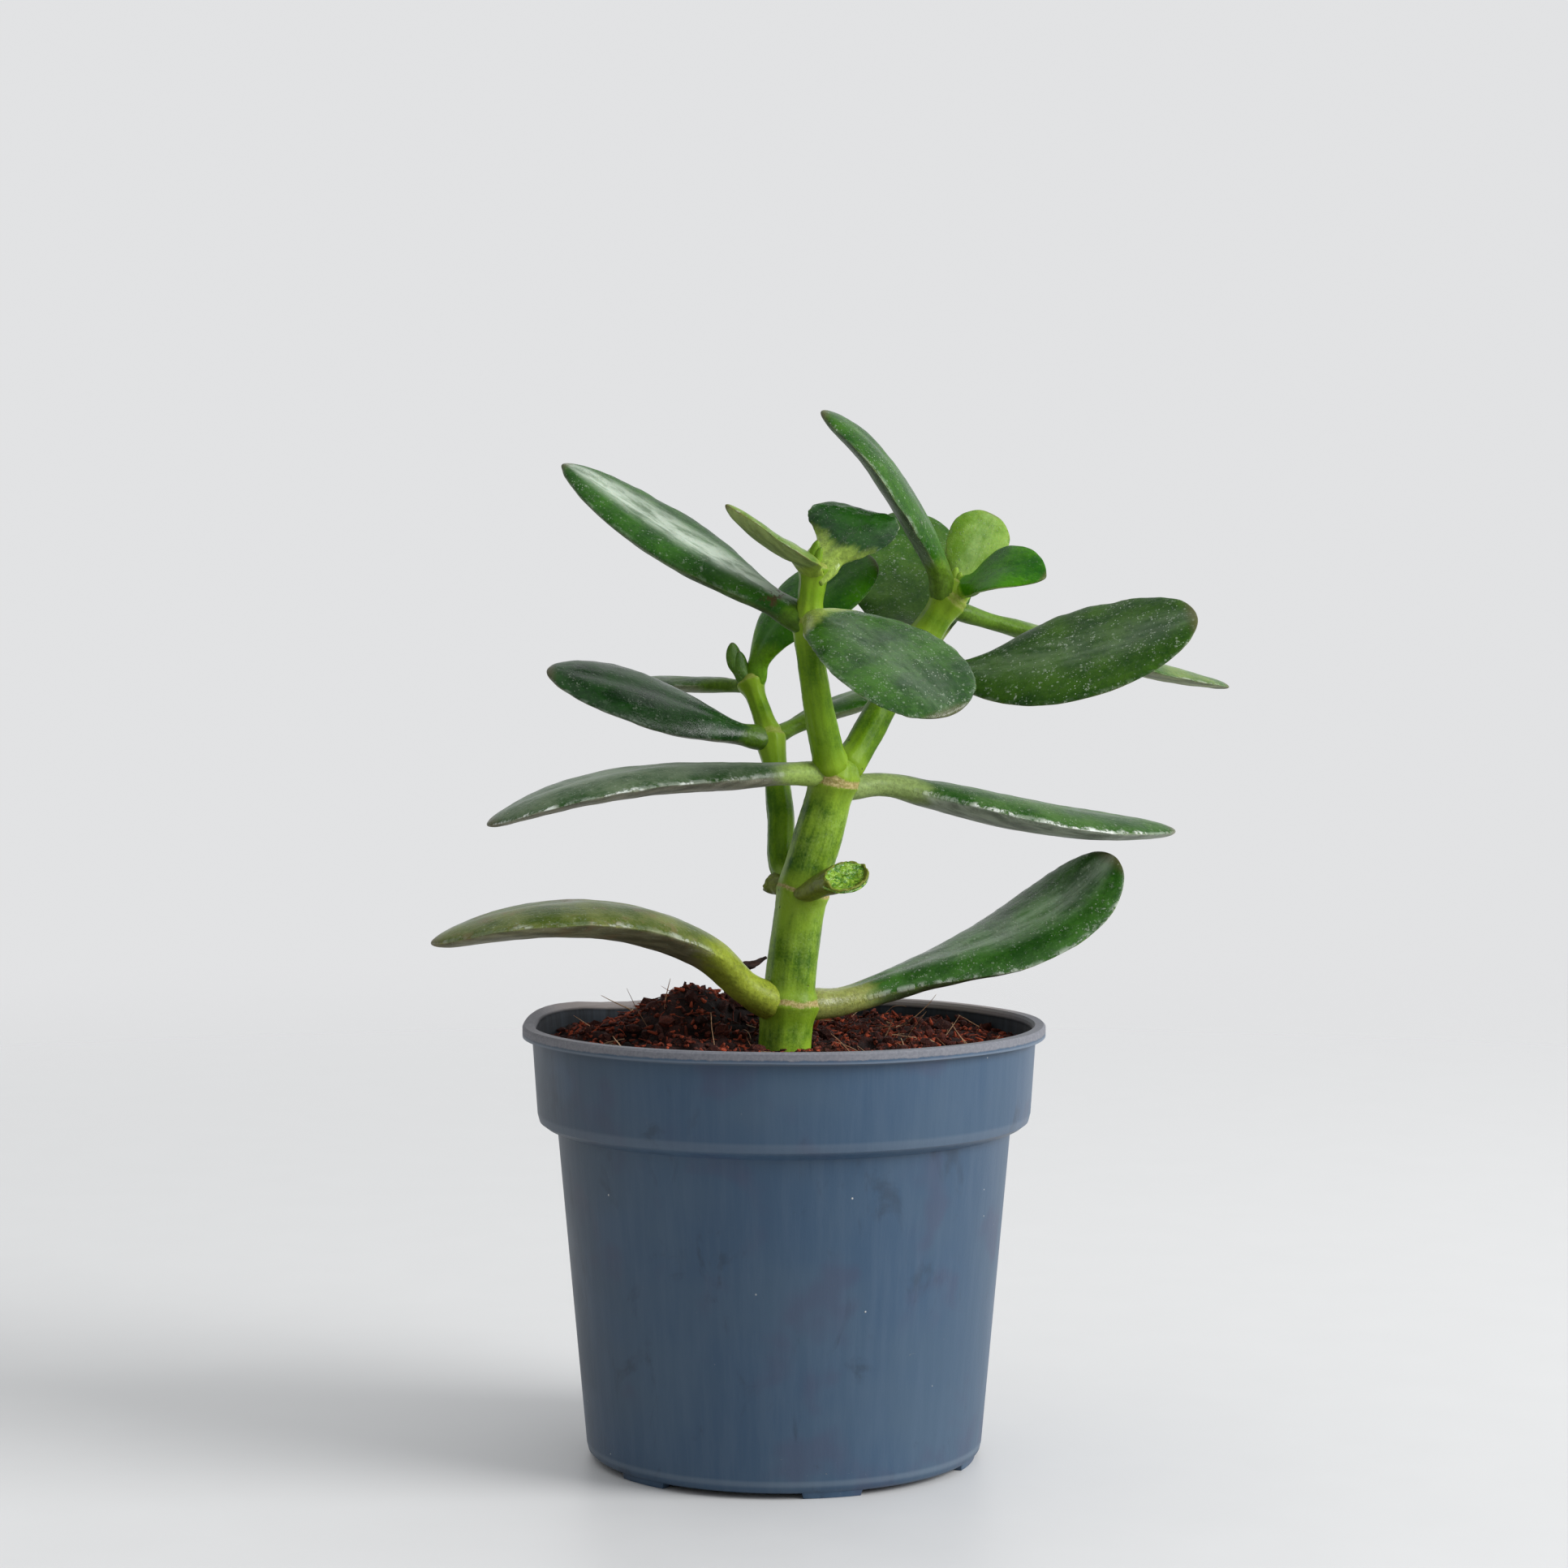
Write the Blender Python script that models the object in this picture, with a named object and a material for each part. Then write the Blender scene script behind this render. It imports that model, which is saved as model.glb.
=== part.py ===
"""A young jade plant (Crassula ovata) in a thin-walled plastic nursery pot.

Metres, +Z up. The origin is on the pot's axis, in the plane that the pot stands on, and -Y is
the front. Lists of places and sizes are in millimetres, which MM turns into metres.
"""

import math

import bmesh
import bpy
import numpy as np
from mathutils import Vector, noise

MM = 0.001
GAP = 0.3            # clearance between pieces that touch

# Pot
POT_HEIGHT = 87.1
RIM_RADIUS = 52.5
COLLAR_RADIUS = 50.7
COLLAR_BOTTOM_RADIUS = 49.5
COLLAR_BOTTOM = 69.4
BODY_TOP_RADIUS = 45.5
BODY_TOP = 66.1
BASE_RADIUS = 39.8
WALL = 0.8
FLOOR_UNDERSIDE = 1.2
FOOT_COUNT = 6
FOOT_ANGLE = 17.0        # degrees of the pot's edge that one foot takes
FIRST_FOOT = -76.0       # degrees from +X to the foot right of the front
CENTRE_PAD_RADIUS = 9.0
FOOT_INNER_RADIUS = 34.8
FOOT_OUTER_RADIUS = 38.5
DRAIN_COUNT = 6
DRAIN_RADIUS = 3.2
DRAIN_CIRCLE = 24.0
TAB_START = 137.0        # degrees from +X: the stretch of rim that is bent up
TAB_END = 178.0
TAB_LIFT = 1.5

# Soil
SOIL_LEVEL = 81.6
SOIL_BACK_RISE = 2.0
MOUND_CENTRE = (-18.0, 15.0)
MOUND_RADIUS = 12.0
MOUND_HEIGHT = 10.5

# Plant
CROWN_Z = 60.0           # where the stem ends and the root crown starts
LEAF_RINGS = 13
LEAF_SIDES = 10
BUD_RINGS = 7
STEM_SIDES = 12

COLOURS = {
    "pot_plastic": (0.105, 0.140, 0.190),
    "coir": (0.120, 0.030, 0.014),
    "stem_green": (0.150, 0.300, 0.030),
    "leaf_green": (0.040, 0.140, 0.030),
    "young_green": (0.120, 0.330, 0.035),
    "torn_leaf": (0.200, 0.420, 0.040),
    "bark": (0.030, 0.014, 0.010),
    "root": (0.420, 0.290, 0.170),
}
ROUGHNESS = {"pot_plastic": 0.5, "coir": 0.95, "bark": 0.9, "root": 0.8}
PLANT_ROUGHNESS = 0.38


# ---------------------------------------------------------------------------- shared tools

def clear_scene():
    for obj in list(bpy.data.objects):
        bpy.data.objects.remove(obj, do_unlink=True)


def material(name):
    mat = bpy.data.materials.get(name)
    if mat is None:
        mat = bpy.data.materials.new(name)
        mat.use_nodes = True
        shader = mat.node_tree.nodes["Principled BSDF"]
        shader.inputs["Base Color"].default_value = (*COLOURS[name], 1.0)
        shader.inputs["Roughness"].default_value = ROUGHNESS.get(name, PLANT_ROUGHNESS)
        shader.inputs["Metallic"].default_value = 0.0
    return mat


def add_object(name, bm, material_name):
    """Turns a bmesh in millimetres into a smooth-shaded object in metres."""
    bmesh.ops.scale(bm, vec=(MM, MM, MM), verts=bm.verts)
    bmesh.ops.recalc_face_normals(bm, faces=bm.faces)
    mesh = bpy.data.meshes.new(name)
    bm.to_mesh(mesh)
    bm.free()
    mesh.shade_smooth()
    mesh.set_sharp_from_angle(angle=math.radians(40))
    mesh.materials.append(material(material_name))
    obj = bpy.data.objects.new(name, mesh)
    bpy.context.scene.collection.objects.link(obj)
    return obj


def as_cutter(obj):
    obj.hide_render = True
    obj.display_type = "WIRE"
    return obj


def boolean(obj, other, operation="DIFFERENCE", own_overlaps=False):
    modifier = obj.modifiers.new(operation.lower() + "_" + other.name, "BOOLEAN")
    modifier.operation = operation
    modifier.solver = "EXACT"
    modifier.use_self = own_overlaps
    modifier.object = other


def smooth_path(points, count, tip_crowding=0.0):
    """Reads count points off a smooth curve through the given ones, evenly along its length.

    Any number of coordinates per point is taken, so that a radius can ride along with a place.
    tip_crowding above 0 moves the points towards the end of the curve.
    """
    points = np.array(points, dtype=float)
    knots = np.concatenate([[0], np.cumsum(np.linalg.norm(np.diff(points[:, :3], axis=0), axis=1))])
    slopes = np.gradient(points, knots, axis=0)
    fine = []
    for i in range(len(points) - 1):
        span = knots[i + 1] - knots[i]
        for t in np.linspace(0, 1, 24, endpoint=False):
            start = (2 * t**3 - 3 * t**2 + 1) * points[i] + (t**3 - 2 * t**2 + t) * span * slopes[i]
            end = (3 * t**2 - 2 * t**3) * points[i + 1] + (t**3 - t**2) * span * slopes[i + 1]
            fine.append(start + end)
    fine.append(points[-1])
    fine = np.array(fine)
    along = np.concatenate([[0], np.cumsum(np.linalg.norm(np.diff(fine[:, :3], axis=0), axis=1))])
    even = np.linspace(0, 1, count)
    wanted = 1 - (1 - even) ** (1 + tip_crowding)
    return np.array([np.interp(wanted * along[-1], along, column) for column in fine.T]).T, wanted


def tangents(path):
    return [Vector(v).normalized() for v in np.gradient(path, axis=0)]


def skin_rings(bm, rings, tip=None):
    """Joins rings of points into one closed skin: a flat start, and a pointed or flat end."""
    loops = [[bm.verts.new(p) for p in ring] for ring in rings]
    count = len(loops[0])
    for near, far in zip(loops, loops[1:]):
        for k in range(count):
            bm.faces.new((near[k], near[(k + 1) % count], far[(k + 1) % count], far[k]))
    bm.faces.new(list(reversed(loops[0])))
    if tip is None:
        bm.faces.new(loops[-1])
    else:
        end = bm.verts.new(tip)
        for k in range(count):
            bm.faces.new((loops[-1][k], loops[-1][(k + 1) % count], end))


# ---------------------------------------------------------------------------- pot

def pot_outline(foot_bottom):
    """(radius, height, share of the rim's bend) round the wall's section, from under the pot."""
    collar_slope = (COLLAR_RADIUS - COLLAR_BOTTOM_RADIUS) / (POT_HEIGHT - COLLAR_BOTTOM)
    flange_under = POT_HEIGHT - 1.2
    lip_bottom = POT_HEIGHT - 2.2
    outside = [
        (CENTRE_PAD_RADIUS, 0.0, 0),
        (CENTRE_PAD_RADIUS + 0.6, FLOOR_UNDERSIDE, 0),
        (FOOT_INNER_RADIUS - 0.3, FLOOR_UNDERSIDE, 0),
        (FOOT_INNER_RADIUS, foot_bottom, 0),
        (FOOT_OUTER_RADIUS, foot_bottom, 0),
        (FOOT_OUTER_RADIUS + 0.2, FLOOR_UNDERSIDE - 0.1, 0),
        (BASE_RADIUS - 0.3, FLOOR_UNDERSIDE + 0.6, 0),
        (BASE_RADIUS, FLOOR_UNDERSIDE + 1.8, 0),
        (BODY_TOP_RADIUS, BODY_TOP, 0),
        (COLLAR_BOTTOM_RADIUS - 1.6, BODY_TOP + 0.9, 0),
        (COLLAR_BOTTOM_RADIUS - 0.4, BODY_TOP + 1.8, 0),
        (COLLAR_BOTTOM_RADIUS, COLLAR_BOTTOM, 0),
        (COLLAR_RADIUS - collar_slope * 1.2, flange_under, 0.1),
        (RIM_RADIUS - 0.8, flange_under, 0.8),
        (RIM_RADIUS - 0.7, lip_bottom, 0.9),
        (RIM_RADIUS, lip_bottom, 1.0),
        (RIM_RADIUS, POT_HEIGHT - 0.4, 1.0),
        (RIM_RADIUS - 0.4, POT_HEIGHT, 0.9),
    ]
    inside = [
        (COLLAR_RADIUS - 0.3, POT_HEIGHT, 0.2),
        (COLLAR_RADIUS - WALL, POT_HEIGHT - 0.5, 0),
        (COLLAR_BOTTOM_RADIUS - WALL, COLLAR_BOTTOM + 0.4, 0),
        (COLLAR_BOTTOM_RADIUS - WALL - 1.4, BODY_TOP + 1.9, 0),
        (BODY_TOP_RADIUS - WALL, BODY_TOP + 0.5, 0),
        (BASE_RADIUS - WALL, FLOOR_UNDERSIDE + 2.0, 0),
        (BASE_RADIUS - WALL - 1.2, FLOOR_UNDERSIDE + WALL, 0),
    ]
    return outside + inside


def foot_columns():
    """Angles of the pot's columns of corners, with the height that the edge reaches down to."""
    pitch = 360.0 / FOOT_COUNT
    half = FOOT_ANGLE / 2
    gap = pitch - FOOT_ANGLE
    columns = []
    for foot in range(FOOT_COUNT):
        middle = FIRST_FOOT + foot * pitch
        for step in (-1.0, -0.33, 0.33, 1.0):
            columns.append((middle + step * half, 0.0))
        for step in range(6):
            columns.append((middle + half + 0.4 + step / 5 * (gap - 0.8), FLOOR_UNDERSIDE - 0.1))
    return columns


def rim_bend(angle):
    """How far the flange is bent up at an angle, and its slight waviness elsewhere."""
    turned = (angle - TAB_START) % 360.0
    wave = 0.12 * math.sin(math.radians(3 * angle)) + 0.08 * math.sin(math.radians(7 * angle + 40))
    if turned > TAB_END - TAB_START:
        return wave
    share = turned / (TAB_END - TAB_START)
    return wave + TAB_LIFT * math.sin(math.pi * share) ** 0.5


def make_pot():
    bm = bmesh.new()
    under = bm.verts.new((0, 0, 0))
    inner = bm.verts.new((0, 0, FLOOR_UNDERSIDE + WALL))
    columns = []
    for angle, foot_bottom in foot_columns():
        ray = math.radians(angle)
        bend = rim_bend(angle)
        column = []
        for radius, height, share in pot_outline(foot_bottom):
            out = radius - 0.25 * abs(bend) * share
            column.append(bm.verts.new((out * math.cos(ray), out * math.sin(ray), height + bend * share)))
        columns.append(column)
    for near, far in zip(columns, columns[1:] + columns[:1]):
        bm.faces.new((under, near[0], far[0]))
        bm.faces.new((inner, far[-1], near[-1]))
        for k in range(len(near) - 1):
            bm.faces.new((near[k], near[k + 1], far[k + 1], far[k]))
    pot = add_object("pot", bm, "pot_plastic")
    boolean(pot, as_cutter(drain_cutter()))
    return pot


def drain_cutter():
    """Round pins that cut the drain holes through the pot's floor, between the feet."""
    bm = bmesh.new()
    for k in range(DRAIN_COUNT):
        ray = math.radians(FIRST_FOOT + (k + 0.5) * 360 / DRAIN_COUNT)
        made = bmesh.ops.create_cone(
            bm, cap_ends=True, segments=14, radius1=DRAIN_RADIUS, radius2=DRAIN_RADIUS, depth=4.0
        )
        place = Vector((DRAIN_CIRCLE * math.cos(ray), DRAIN_CIRCLE * math.sin(ray), FLOOR_UNDERSIDE))
        bmesh.ops.translate(bm, vec=place, verts=made["verts"])
    return add_object("drain_cutter", bm, "pot_plastic")


def pot_inner_radius(height):
    if height > COLLAR_BOTTOM:
        share = (height - COLLAR_BOTTOM) / (POT_HEIGHT - COLLAR_BOTTOM)
        return COLLAR_BOTTOM_RADIUS + share * (COLLAR_RADIUS - COLLAR_BOTTOM_RADIUS) - WALL
    share = height / BODY_TOP
    return BASE_RADIUS + share * (BODY_TOP_RADIUS - BASE_RADIUS) - WALL


# ---------------------------------------------------------------------------- soil

def soil_height(x, y):
    """Height of the soil's surface: nearly level, higher at the back, heaped behind the stem."""
    back = SOIL_BACK_RISE * min(max((y + 5) / 45, 0), 1)
    away = math.hypot((x - MOUND_CENTRE[0]) / 1.25, y - MOUND_CENTRE[1]) / MOUND_RADIUS
    mound = MOUND_HEIGHT * math.exp(-away * away)
    lumps = 0.7 * noise.noise(Vector((x / 7, y / 7, 3.1))) + 0.4 * noise.noise(Vector((x / 3, y / 3, 8.2)))
    return SOIL_LEVEL + back + mound + lumps


def make_soil(cutters):
    """The coir that fills the pot, cut back to GAP from the stem and the roots."""
    sides = 44
    rings = 8
    rim = COLLAR_RADIUS - WALL - GAP - 0.5
    wall = [
        (pot_inner_radius(COLLAR_BOTTOM + 1) - GAP - 0.1, COLLAR_BOTTOM + 1.0),
        (COLLAR_BOTTOM_RADIUS - WALL - 2.2, BODY_TOP + 3.2),
        (BODY_TOP_RADIUS - WALL - GAP - 0.6, BODY_TOP + 0.9),
        (BASE_RADIUS - WALL - GAP - 0.1, FLOOR_UNDERSIDE + 3.0),
        (BASE_RADIUS - WALL - 2.0, FLOOR_UNDERSIDE + WALL + GAP),
    ]
    bm = bmesh.new()
    loops = []
    for k in range(1, rings + 1):
        radius = rim * k / rings
        loops.append([])
        for side in range(sides):
            ray = 2 * math.pi * side / sides
            x, y = radius * math.cos(ray), radius * math.sin(ray)
            loops[-1].append(bm.verts.new((x, y, soil_height(x, y))))
    for radius, height in wall:
        rays = [2 * math.pi * side / sides for side in range(sides)]
        loops.append([bm.verts.new((radius * math.cos(a), radius * math.sin(a), height)) for a in rays])
    top = bm.verts.new((0, 0, soil_height(0, 0)))
    for k in range(sides):
        bm.faces.new((top, loops[0][k], loops[0][(k + 1) % sides]))
    for near, far in zip(loops, loops[1:]):
        for k in range(sides):
            bm.faces.new((near[k], far[k], far[(k + 1) % sides], near[(k + 1) % sides]))
    bm.faces.new(loops[-1])
    soil = add_object("soil", bm, "coir")
    for cutter in cutters:
        boolean(soil, cutter)


def make_bark_chip():
    """A dark sliver that stands in the heaped soil behind the lower left leaf."""
    path, _ = smooth_path([(-13.0, 18.0, 92.6), (-10.5, 18.0, 95.6), (-7.3, 18.0, 96.8), (-3.6, 18.0, 98.5)], 7)
    widths = [1.3, 1.2, 1.0, 1.1, 0.9, 0.6, 0.3]
    bm = bmesh.new()
    rings = []
    for point, width, along in zip(path, widths, tangents(path)):
        side = along.cross(Vector((0, 1, 0))).normalized()
        across = along.cross(side)
        ring = []
        for k in range(6):
            turn = math.tau * k / 6
            ring.append(Vector(point) + width * math.cos(turn) * side + 0.7 * width * math.sin(turn) * across)
        rings.append(ring)
    skin_rings(bm, rings)
    return add_object("bark_chip", bm, "bark")


# ---------------------------------------------------------------------------- stems and roots

def tube(bm, path, radii, sides, domed):
    """A round stem along a path, with a flat start and a domed or flat end."""
    rings = []
    for point, radius, along in zip(path, radii, tangents(path)):
        side = along.cross(Vector((0.2, 1, 0.1))).normalized()
        across = along.cross(side)
        turns = [math.tau * k / sides for k in range(sides)]
        ring = [Vector(point) + radius * (math.cos(a) * side + math.sin(a) * across) for a in turns]
        rings.append(ring)
    along = tangents(path)[-1]
    tip = None
    if domed:
        end = Vector(path[-1])
        rings.append([end + 0.8 * (p - end) + 0.4 * radii[-1] * along for p in rings[-1]])
        tip = end + 0.62 * radii[-1] * along
    skin_rings(bm, rings, tip)


def make_stem(name, route, nodes, grow=0.0, rings=14):
    """A stem from (x, y, z, radius) places, a little thicker at each of its leaf nodes."""
    path, share = smooth_path(route, rings)
    path[0, :3] -= grow * np.array(tangents(path[:, :3])[0])
    length = np.sum(np.linalg.norm(np.diff(path[:, :3], axis=0), axis=1))
    radii = path[:, 3].copy()
    for node in nodes:
        radii += 0.45 * np.exp(-(((share - node) * length / 2.2) ** 2))
    bm = bmesh.new()
    tube(bm, path[:, :3], (radii + grow).tolist(), STEM_SIDES, domed=True)
    return add_object(name, bm, "stem_green")


def make_main_stem(name="main_stem", grow=0.0):
    route = [
        (-0.6, 0.4, CROWN_Z, 4.6),
        (0.0, 0.2, 72.0, 5.4),
        (0.4, 0.0, 84.0, 5.3),
        (1.5, 0.0, 97.0, 5.1),
        (3.8, 0.0, 113.3, 4.9),
        (8.2, 0.0, 129.6, 4.7),
        (10.4, 0.0, 138.0, 4.2),
    ]
    return make_stem(name, route, nodes=(0.37, 0.695, 0.99), grow=grow, rings=22)


def make_front_branch(name="front_branch", grow=0.0):
    route = [
        (9.9, -1.0, 136.0, 3.0),
        (8.8, -3.8, 141.3, 3.2),
        (6.6, -8.0, 152.0, 2.9),
        (4.9, -10.0, 166.5, 2.6),
        (6.0, -11.0, 178.0, 2.3),
    ]
    return make_stem(name, route, nodes=(0.72, 0.96), grow=grow)


def make_right_branch(name="right_branch", grow=0.0):
    route = [
        (11.6, 1.0, 136.0, 3.0),
        (15.1, 4.0, 142.0, 3.15),
        (22.0, 9.5, 154.0, 3.0),
        (33.1, 14.0, 171.2, 2.85),
        (35.6, 14.8, 174.6, 2.2),
    ]
    return make_stem(name, route, nodes=(0.6, 0.93), grow=grow)


def make_back_branch(name="back_branch", grow=0.0):
    route = [
        (3.6, 2.0, 113.6, 2.4),
        (-0.1, 7.0, 117.6, 2.7),
        (-0.7, 10.5, 128.2, 2.7),
        (-2.9, 14.0, 143.4, 2.3),
        (-6.9, 18.0, 155.6, 1.9),
    ]
    return make_stem(name, route, nodes=(0.7, 0.98), grow=grow)


def make_roots(name="roots", grow=0.0):
    """The root crown under the stem, with its main roots running down and out."""
    top = CROWN_Z - GAP
    crown = bmesh.new()
    places = [(-0.6, 0.4, top + grow), (-0.6, 0.4, top - 7), (-0.9, 0.6, top - 14)]
    tube(crown, np.array(places), [5.2 + grow, 4.6 + grow, 2.4 + grow], 10, domed=True)
    crown = add_object(name, crown, "root")
    arms = bmesh.new()
    for k, (reach, depth) in enumerate([(26, 40), (20, 46), (28, 34), (16, 48), (24, 38)]):
        ray = math.radians(30 + 72 * k)
        out = Vector((math.cos(ray), math.sin(ray), 0))
        start = Vector((-0.6, 0.4, top - 6)) + 1.5 * out
        route = [start, start + out * reach * 0.55 - Vector((0, 0, depth * 0.3)), start + out * reach]
        route[2].z -= depth
        path, _ = smooth_path([tuple(p) for p in route], 7)
        radii = (np.linspace(2.0, 0.6, 7) + grow).tolist()
        tube(arms, path, radii, 6, domed=True)
    boolean(crown, as_cutter(add_object(name + "_arms", arms, "root")), "UNION", own_overlaps=True)
    return crown


# ---------------------------------------------------------------------------- leaves

def blade_half_width(share, width, petiole, neck, widest, bluntness):
    """Half the leaf's width at a share of its length: a petiole, then an egg-shaped blade."""
    if share < widest:
        rise = min(max((share - neck) / (widest - neck), 0), 1)
        rise = math.sin(rise * math.pi / 2) ** 1.4
        return (petiole + (width - petiole) * rise) / 2
    fall = (share - widest) / (1 - widest)
    return width / 2 * max(1 - fall**2.2, 0) ** bluntness


def make_leaf(name, stems, spine, face, width, thick, petiole=5.0, neck=0.12, widest=0.62,
              bluntness=0.6, cup=0.0, face_tip=None, colour="leaf_green", rings=LEAF_RINGS):
    """One fleshy leaf along its spine, cut back to GAP from the stems that it grows from.

    face is the way its upper side looks at the base, and face_tip at the tip. cup lifts the
    margins over the midrib, as a share of the half width. petiole and neck give the stalk's
    width and its share of the length, and widest is where the blade is broadest.
    """
    path, share = smooth_path(spine, rings, tip_crowding=0.7)
    base_face = Vector(face)
    tip_face = Vector(face_tip or face)
    loops = []
    for point, t, along in list(zip(path, share.tolist(), tangents(path)))[:-1]:
        side = along.cross(base_face.lerp(tip_face, t)).normalized()
        up = side.cross(along)
        half = blade_half_width(t, width, petiole, neck, widest, bluntness)
        blade = min(max((t - neck) / 0.3, 0), 1)
        taper = max(1 - t**4, 0) ** 0.5
        depth = ((1 - blade) * 0.85 * petiole + blade * thick) / 2 * taper
        ring = []
        for k in range(LEAF_SIDES):
            turn = math.tau * k / LEAF_SIDES
            across, lift = math.cos(turn), math.sin(turn)
            lift *= abs(lift) ** (0.45 * blade)
            rise = depth * lift + cup * blade * half * across * across
            ring.append(Vector(point) + half * across * side + rise * up)
        loops.append(ring)
    bm = bmesh.new()
    skin_rings(bm, loops, Vector(path[-1]))
    leaf = add_object(name, bm, colour)
    for stem in stems:
        boolean(leaf, stem)
    return leaf


def make_main_leaves(trunk, front, right):
    """The low pair at the soil and the middle pair at the fork."""
    make_leaf(
        "leaf_low_left", [trunk],
        spine=[(0.4, 0, 89.2), (-6.5, -4, 93.6), (-14.5, -8, 101.2), (-32.7, -15, 108.6), (-52, -20.5, 108.9),
               (-68.6, -23, 105.0)],
        face=(0.1, 0.0, 1.0), width=26, thick=8.0, petiole=7.6, widest=0.66,
    )
    make_leaf(
        "leaf_low_right", [trunk],
        spine=[(0.4, 0, 90.0), (8.9, 4, 90.4), (29.0, 11, 96.2), (49.4, 16, 103.6), (61.2, 19.0, 111.6),
               (68.2, 20.6, 119.4)],
        face=(-0.1, -0.1, 1.0), face_tip=(-0.5, -0.75, 0.5), width=22.0, thick=6.5, petiole=6.8,
        neck=0.22, widest=0.74, bluntness=0.5,
    )
    make_leaf(
        "leaf_middle_left", [trunk, front],
        spine=[(10.2, -0.5, 137.4), (3.0, -5, 137.4), (-12.1, -10, 137.0), (-30.0, -15.5, 136.1),
               (-46.0, -20.5, 132.6), (-57.6, -23, 128.0)],
        face=(0.05, -0.06, 1.0), width=24, thick=6.0, petiole=5.3, neck=0.14,
    )
    make_leaf(
        "leaf_middle_right", [trunk, right],
        spine=[(10.6, 0.5, 136.6), (17.5, 4, 135.2), (31.3, 11, 132.2), (48.0, 18, 128.2), (66.0, 24, 125.4),
               (81.6, 28, 124.1)],
        face=(0.15, -0.06, 1.0), width=24, thick=7.2, petiole=5.6, neck=0.14,
    )


def make_stumps(trunk, back):
    """What is left of the pair of leaves that broke off between the low and middle pairs."""
    for name, route, sizes, squash in (
        ("leaf_stump_right", [(4.2, 0, 113.4), (7.8, -6.2, 114.4), (12.4, -11.2, 117.4)], (3.8, 4.6, 6.0), 0.52),
        ("leaf_stump_left", [(4.2, 0, 113.8), (0.8, 2.2, 114.4), (-3.0, 5.0, 115.0)], (2.6, 2.6, 2.1), 0.95),
    ):
        path, share = smooth_path(route, 6)
        rings = []
        for point, t, along in zip(path, share.tolist(), tangents(path)):
            side = along.cross(Vector((-0.2, -0.3, 1))).normalized()
            up = side.cross(along)
            size = float(np.interp(t, (0, 0.5, 1), sizes))
            ring = []
            for k in range(LEAF_SIDES):
                turn = math.tau * k / LEAF_SIDES
                slant = 0.35 * t * math.sin(turn) * size * along
                across = size * math.cos(turn) * side
                ring.append(Vector(point) + across + squash * size * math.sin(turn) * up - slant)
            rings.append(ring)
        bm = bmesh.new()
        skin_rings(bm, rings)
        stump = add_object(name, bm, "torn_leaf")
        boolean(stump, trunk)
        boolean(stump, back)


def make_front_leaves(front):
    """Two pairs on the front branch, and the bud at its end."""
    make_leaf(
        "leaf_front_left", [front],
        spine=[(4.9, -10, 167.0), (-2.3, -8, 171.4), (-17.9, -2, 180.6), (-32.8, 4, 190.6), (-44.8, 8, 199.4)],
        face=(0.3, -0.45, 0.83), width=20.5, thick=6.2, petiole=5.0, widest=0.55, neck=0.05, bluntness=0.72,
        cup=0.1,
    )
    make_leaf(
        "leaf_front_right", [front],
        spine=[(5.6, -11.6, 167.8), (8.6, -15, 166.8), (16.1, -22, 162.3), (24.5, -30, 156.0), (31.4, -37, 149.6)],
        face=(0.1, -0.55, 0.83), width=26.6, thick=5.0, petiole=6.0, widest=0.6, neck=-0.12, bluntness=0.45,
        cup=0.08,
    )
    make_leaf(
        "leaf_top_left", [front],
        spine=[(5.2, -12.2, 179.4), (2.1, -15.6, 180.6), (-3.5, -21, 183.8), (-11.2, -27.5, 189.8)],
        face=(0.6, 0.08, 0.8), width=14.5, thick=3.6, petiole=7.0, neck=-0.2, widest=0.32, bluntness=0.85,
        cup=0.1, colour="young_green",
    )
    make_leaf(
        "leaf_top_right", [front],
        spine=[(7.6, -9.2, 179.8), (10.4, -8.2, 182.0), (12.9, -5.8, 184.8), (14.4, -2.4, 187.6), (15.0, 1.6, 190.0)],
        face=(-0.15, -0.75, 0.6), face_tip=(0.25, -0.5, 0.85), width=18.6, thick=3.6, petiole=4.2, neck=-0.02,
        widest=0.5, bluntness=0.45, cup=0.2,
    )
    make_leaf(
        "bud_front", [front],
        spine=[(5.9, -10.9, 178.0), (6.3, -11.0, 181.6), (7.2, -11.2, 184.4)],
        face=(0.2, -1, 0), width=2.2, thick=1.9, petiole=1.8, neck=0.0, widest=0.5, colour="young_green",
        rings=BUD_RINGS,
    )


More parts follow.
